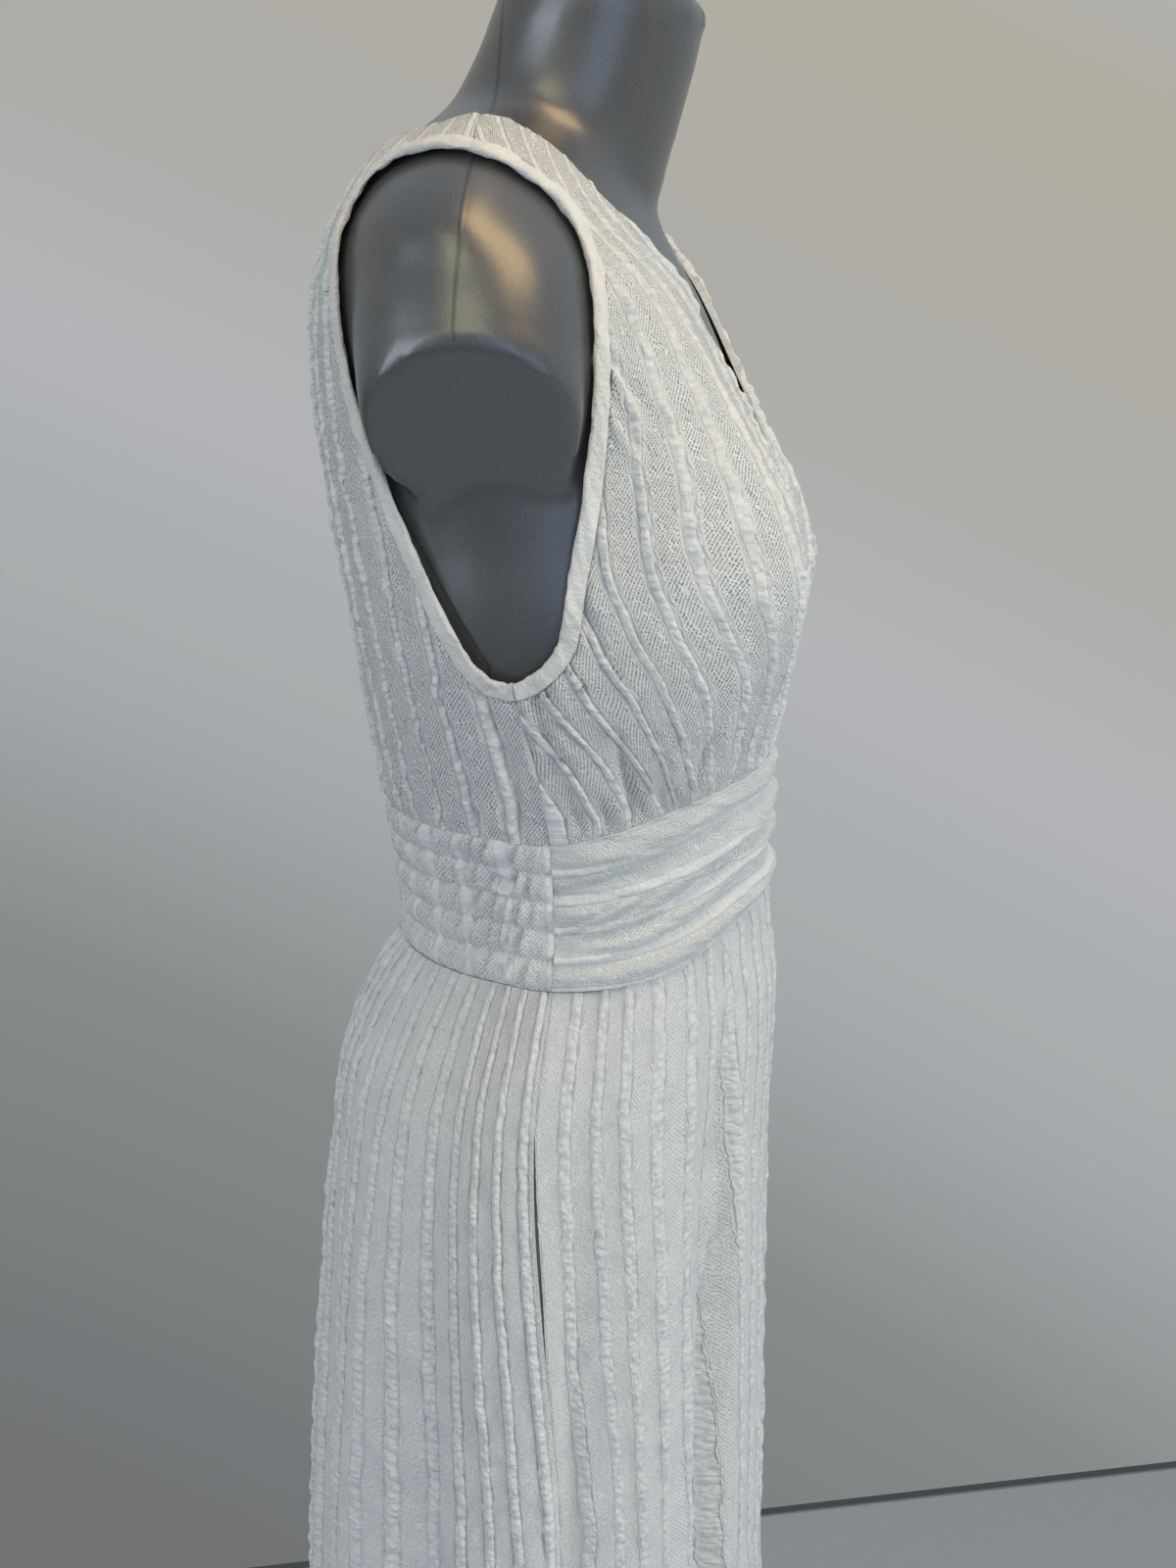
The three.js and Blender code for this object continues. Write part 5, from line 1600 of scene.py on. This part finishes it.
def studio_floor():
    """A floor whose far edge runs aslant, with a dark joint along it."""
    bm = bmesh.new()
    bmesh.ops.create_grid(bm, x_segments=24, y_segments=24, size=0.5)
    for vertex in bm.verts:
        share, y = vertex.co.x + 0.5, vertex.co.y * 2 * FLOOR["reach_y"]
        x = mix(FLOOR["low_x"], FLOOR["high_x"] + FLOOR["yaw"] * y, share)
        vertex.co = (x, y, FLOOR["top"])
    mesh = bpy.data.meshes.new("floor")
    bm.to_mesh(mesh)
    bm.free()
    floor = put("studio_floor", mesh)
    material, tree = new_material("pale_matt_floor")
    place = add_node(tree, "TexCoord", output="Object")
    grain = add_node(tree, "TexNoise", {"Vector": place, "Scale": 60.0})
    tone = {"Factor": grain, "A": linear("#aaaaa8"), "B": linear("#b2b2b0")}
    tone = add_node(tree, "Mix", tone, "Result", data_type="RGBA")
    x, y = add_node(tree, "SeparateXYZ", {"Vector": place}, slice(0, 2))
    to_edge = {0: y, 1: -FLOOR["yaw"], 2: x}
    to_edge = add_node(tree, "Math", to_edge, operation="MULTIPLY_ADD")
    joint = add_node(tree, "MapRange", {"Value": to_edge} | JOINT)
    tone = {"Factor": joint, "A": tone, "B": linear("#4a4a48")}
    tone = add_node(tree, "Mix", tone, "Result", data_type="RGBA")
    finish = {"Base Color": tone, "Roughness": 0.6}
    add_node(tree, "OutputMaterial", {"Surface": add_node(tree, "BsdfPrincipled", finish)})
    mesh.materials.append(material)


studio_floor()

WALL_RISE, WALL_LEAN, WALL_MIDDLE = 0.63, 0.28, 0.665
WALL_TONES = ((0.28, "#707274"), (0.392, "#868c8c"), (0.462, "#a4aaab"), (0.55, "#b3b4b7"))
WALL_TONES += ((0.623, "#adaca7"), (0.72, "#b2aea3"), (0.8, "#b0b6bd"), (1.0, "#b4bfcb"))


def surround():
    """Pale grey walls: lighter and warmer high up in front, darker and cooler low behind."""
    world = bpy.data.worlds.new("pale_studio")
    bpy.context.scene.world = world
    world.use_nodes = True
    tree = world.node_tree
    tree.nodes.clear()
    way = add_node(tree, "TexCoord", output="Generated")
    side, depth, height = add_node(tree, "SeparateXYZ", {"Vector": way}, slice(0, 3))
    level = {0: height, 1: WALL_RISE, 2: WALL_MIDDLE}
    level = add_node(tree, "Math", level, operation="MULTIPLY_ADD")
    level = {0: depth, 1: -WALL_LEAN, 2: level}
    level = add_node(tree, "Math", level, operation="MULTIPLY_ADD")
    tone = add_node(tree, "ValToRGB", {"Fac": level})
    stops = tone.node.color_ramp.elements
    stops[0].position, stops[0].color = WALL_TONES[0][0], linear(WALL_TONES[0][1])
    stops[1].position, stops[1].color = WALL_TONES[-1][0], linear(WALL_TONES[-1][1])
    for position, colour in WALL_TONES[1:-1]:
        stops.new(position).color = linear(colour)
    dim = {"Value": side, "From Min": -0.6, "From Max": 0.45, "To Min": 0.45}
    dim = add_node(tree, "MapRange", dim)
    light = add_node(tree, "Background", {"Color": tone, "Strength": dim})
    add_node(tree, "OutputWorld", {"Surface": light})


surround()

# %% [markdown]
# ## Lamps
# Five soft lamps light the dress: a broad window in front, a small warm lamp above, a cool one
# behind, a bluish fill on the camera's side and a pale one high up on that side. The window is
# left out of glossy reflections, because it would burn out the form's shoulder.

# %% Lamps
# for each: place, target, size in metres, power in watts, colour, and whether gloss mirrors it
LAMPS = {
    "window_front": ((-0.9, -2.3, 1.5), (0, 0, 0.95), 1.2, 26.5, "#f8fffb", False),
    "warm_above": ((-0.3, -0.36, 2.12), (-0.05, 0, 1.3), 0.5, 3.5, "#ffd494", True),
    "cool_back": ((-1.7, 1.9, 1.7), (0, 0, 1.0), 1.4, 18.0, "#e6f1ff", True),
    "camera_side": ((-2.6, -0.9, 1.4), (0, 0, 0.95), 1.6, 8.8, "#b4d2ff", True),
    "camera_high": ((-1.9, 0.3, 2.7), (0, 0, 1.0), 1.0, 7.0, "#fff6c4", True),
}


def add_lamp(name, place, target, size, power, colour, mirrored):
    data = bpy.data.lights.new(name, "AREA")
    data.energy, data.size, data.color = power, size, linear(colour)[:3]
    lamp = put(name, data)
    lamp.location = place
    lamp.visible_glossy = mirrored
    lamp.rotation_euler = (Vector(target) - Vector(place)).to_track_quat("-Z", "Y").to_euler()


for name, settings in LAMPS.items():
    add_lamp(name, *settings)

# %% [markdown]
# ## Camera
# The camera stands on the wearer's right, a little below shoulder height, and looks slightly
# down.

# %% Camera
CAMERA_PLACE = (-1.2566, -0.1596, 1.3524)
CAMERA_WAY = Vector((0.9671, 0.1187, -0.2250))
camera_data = bpy.data.cameras.new("camera")
camera_data.lens, camera_data.sensor_width = 55, 36
camera = put("camera", camera_data)
camera.location = CAMERA_PLACE
camera.rotation_euler = CAMERA_WAY.to_track_quat("-Z", "Y").to_euler()
bpy.context.scene.camera = camera
bpy.context.scene.view_settings.view_transform = "Standard"
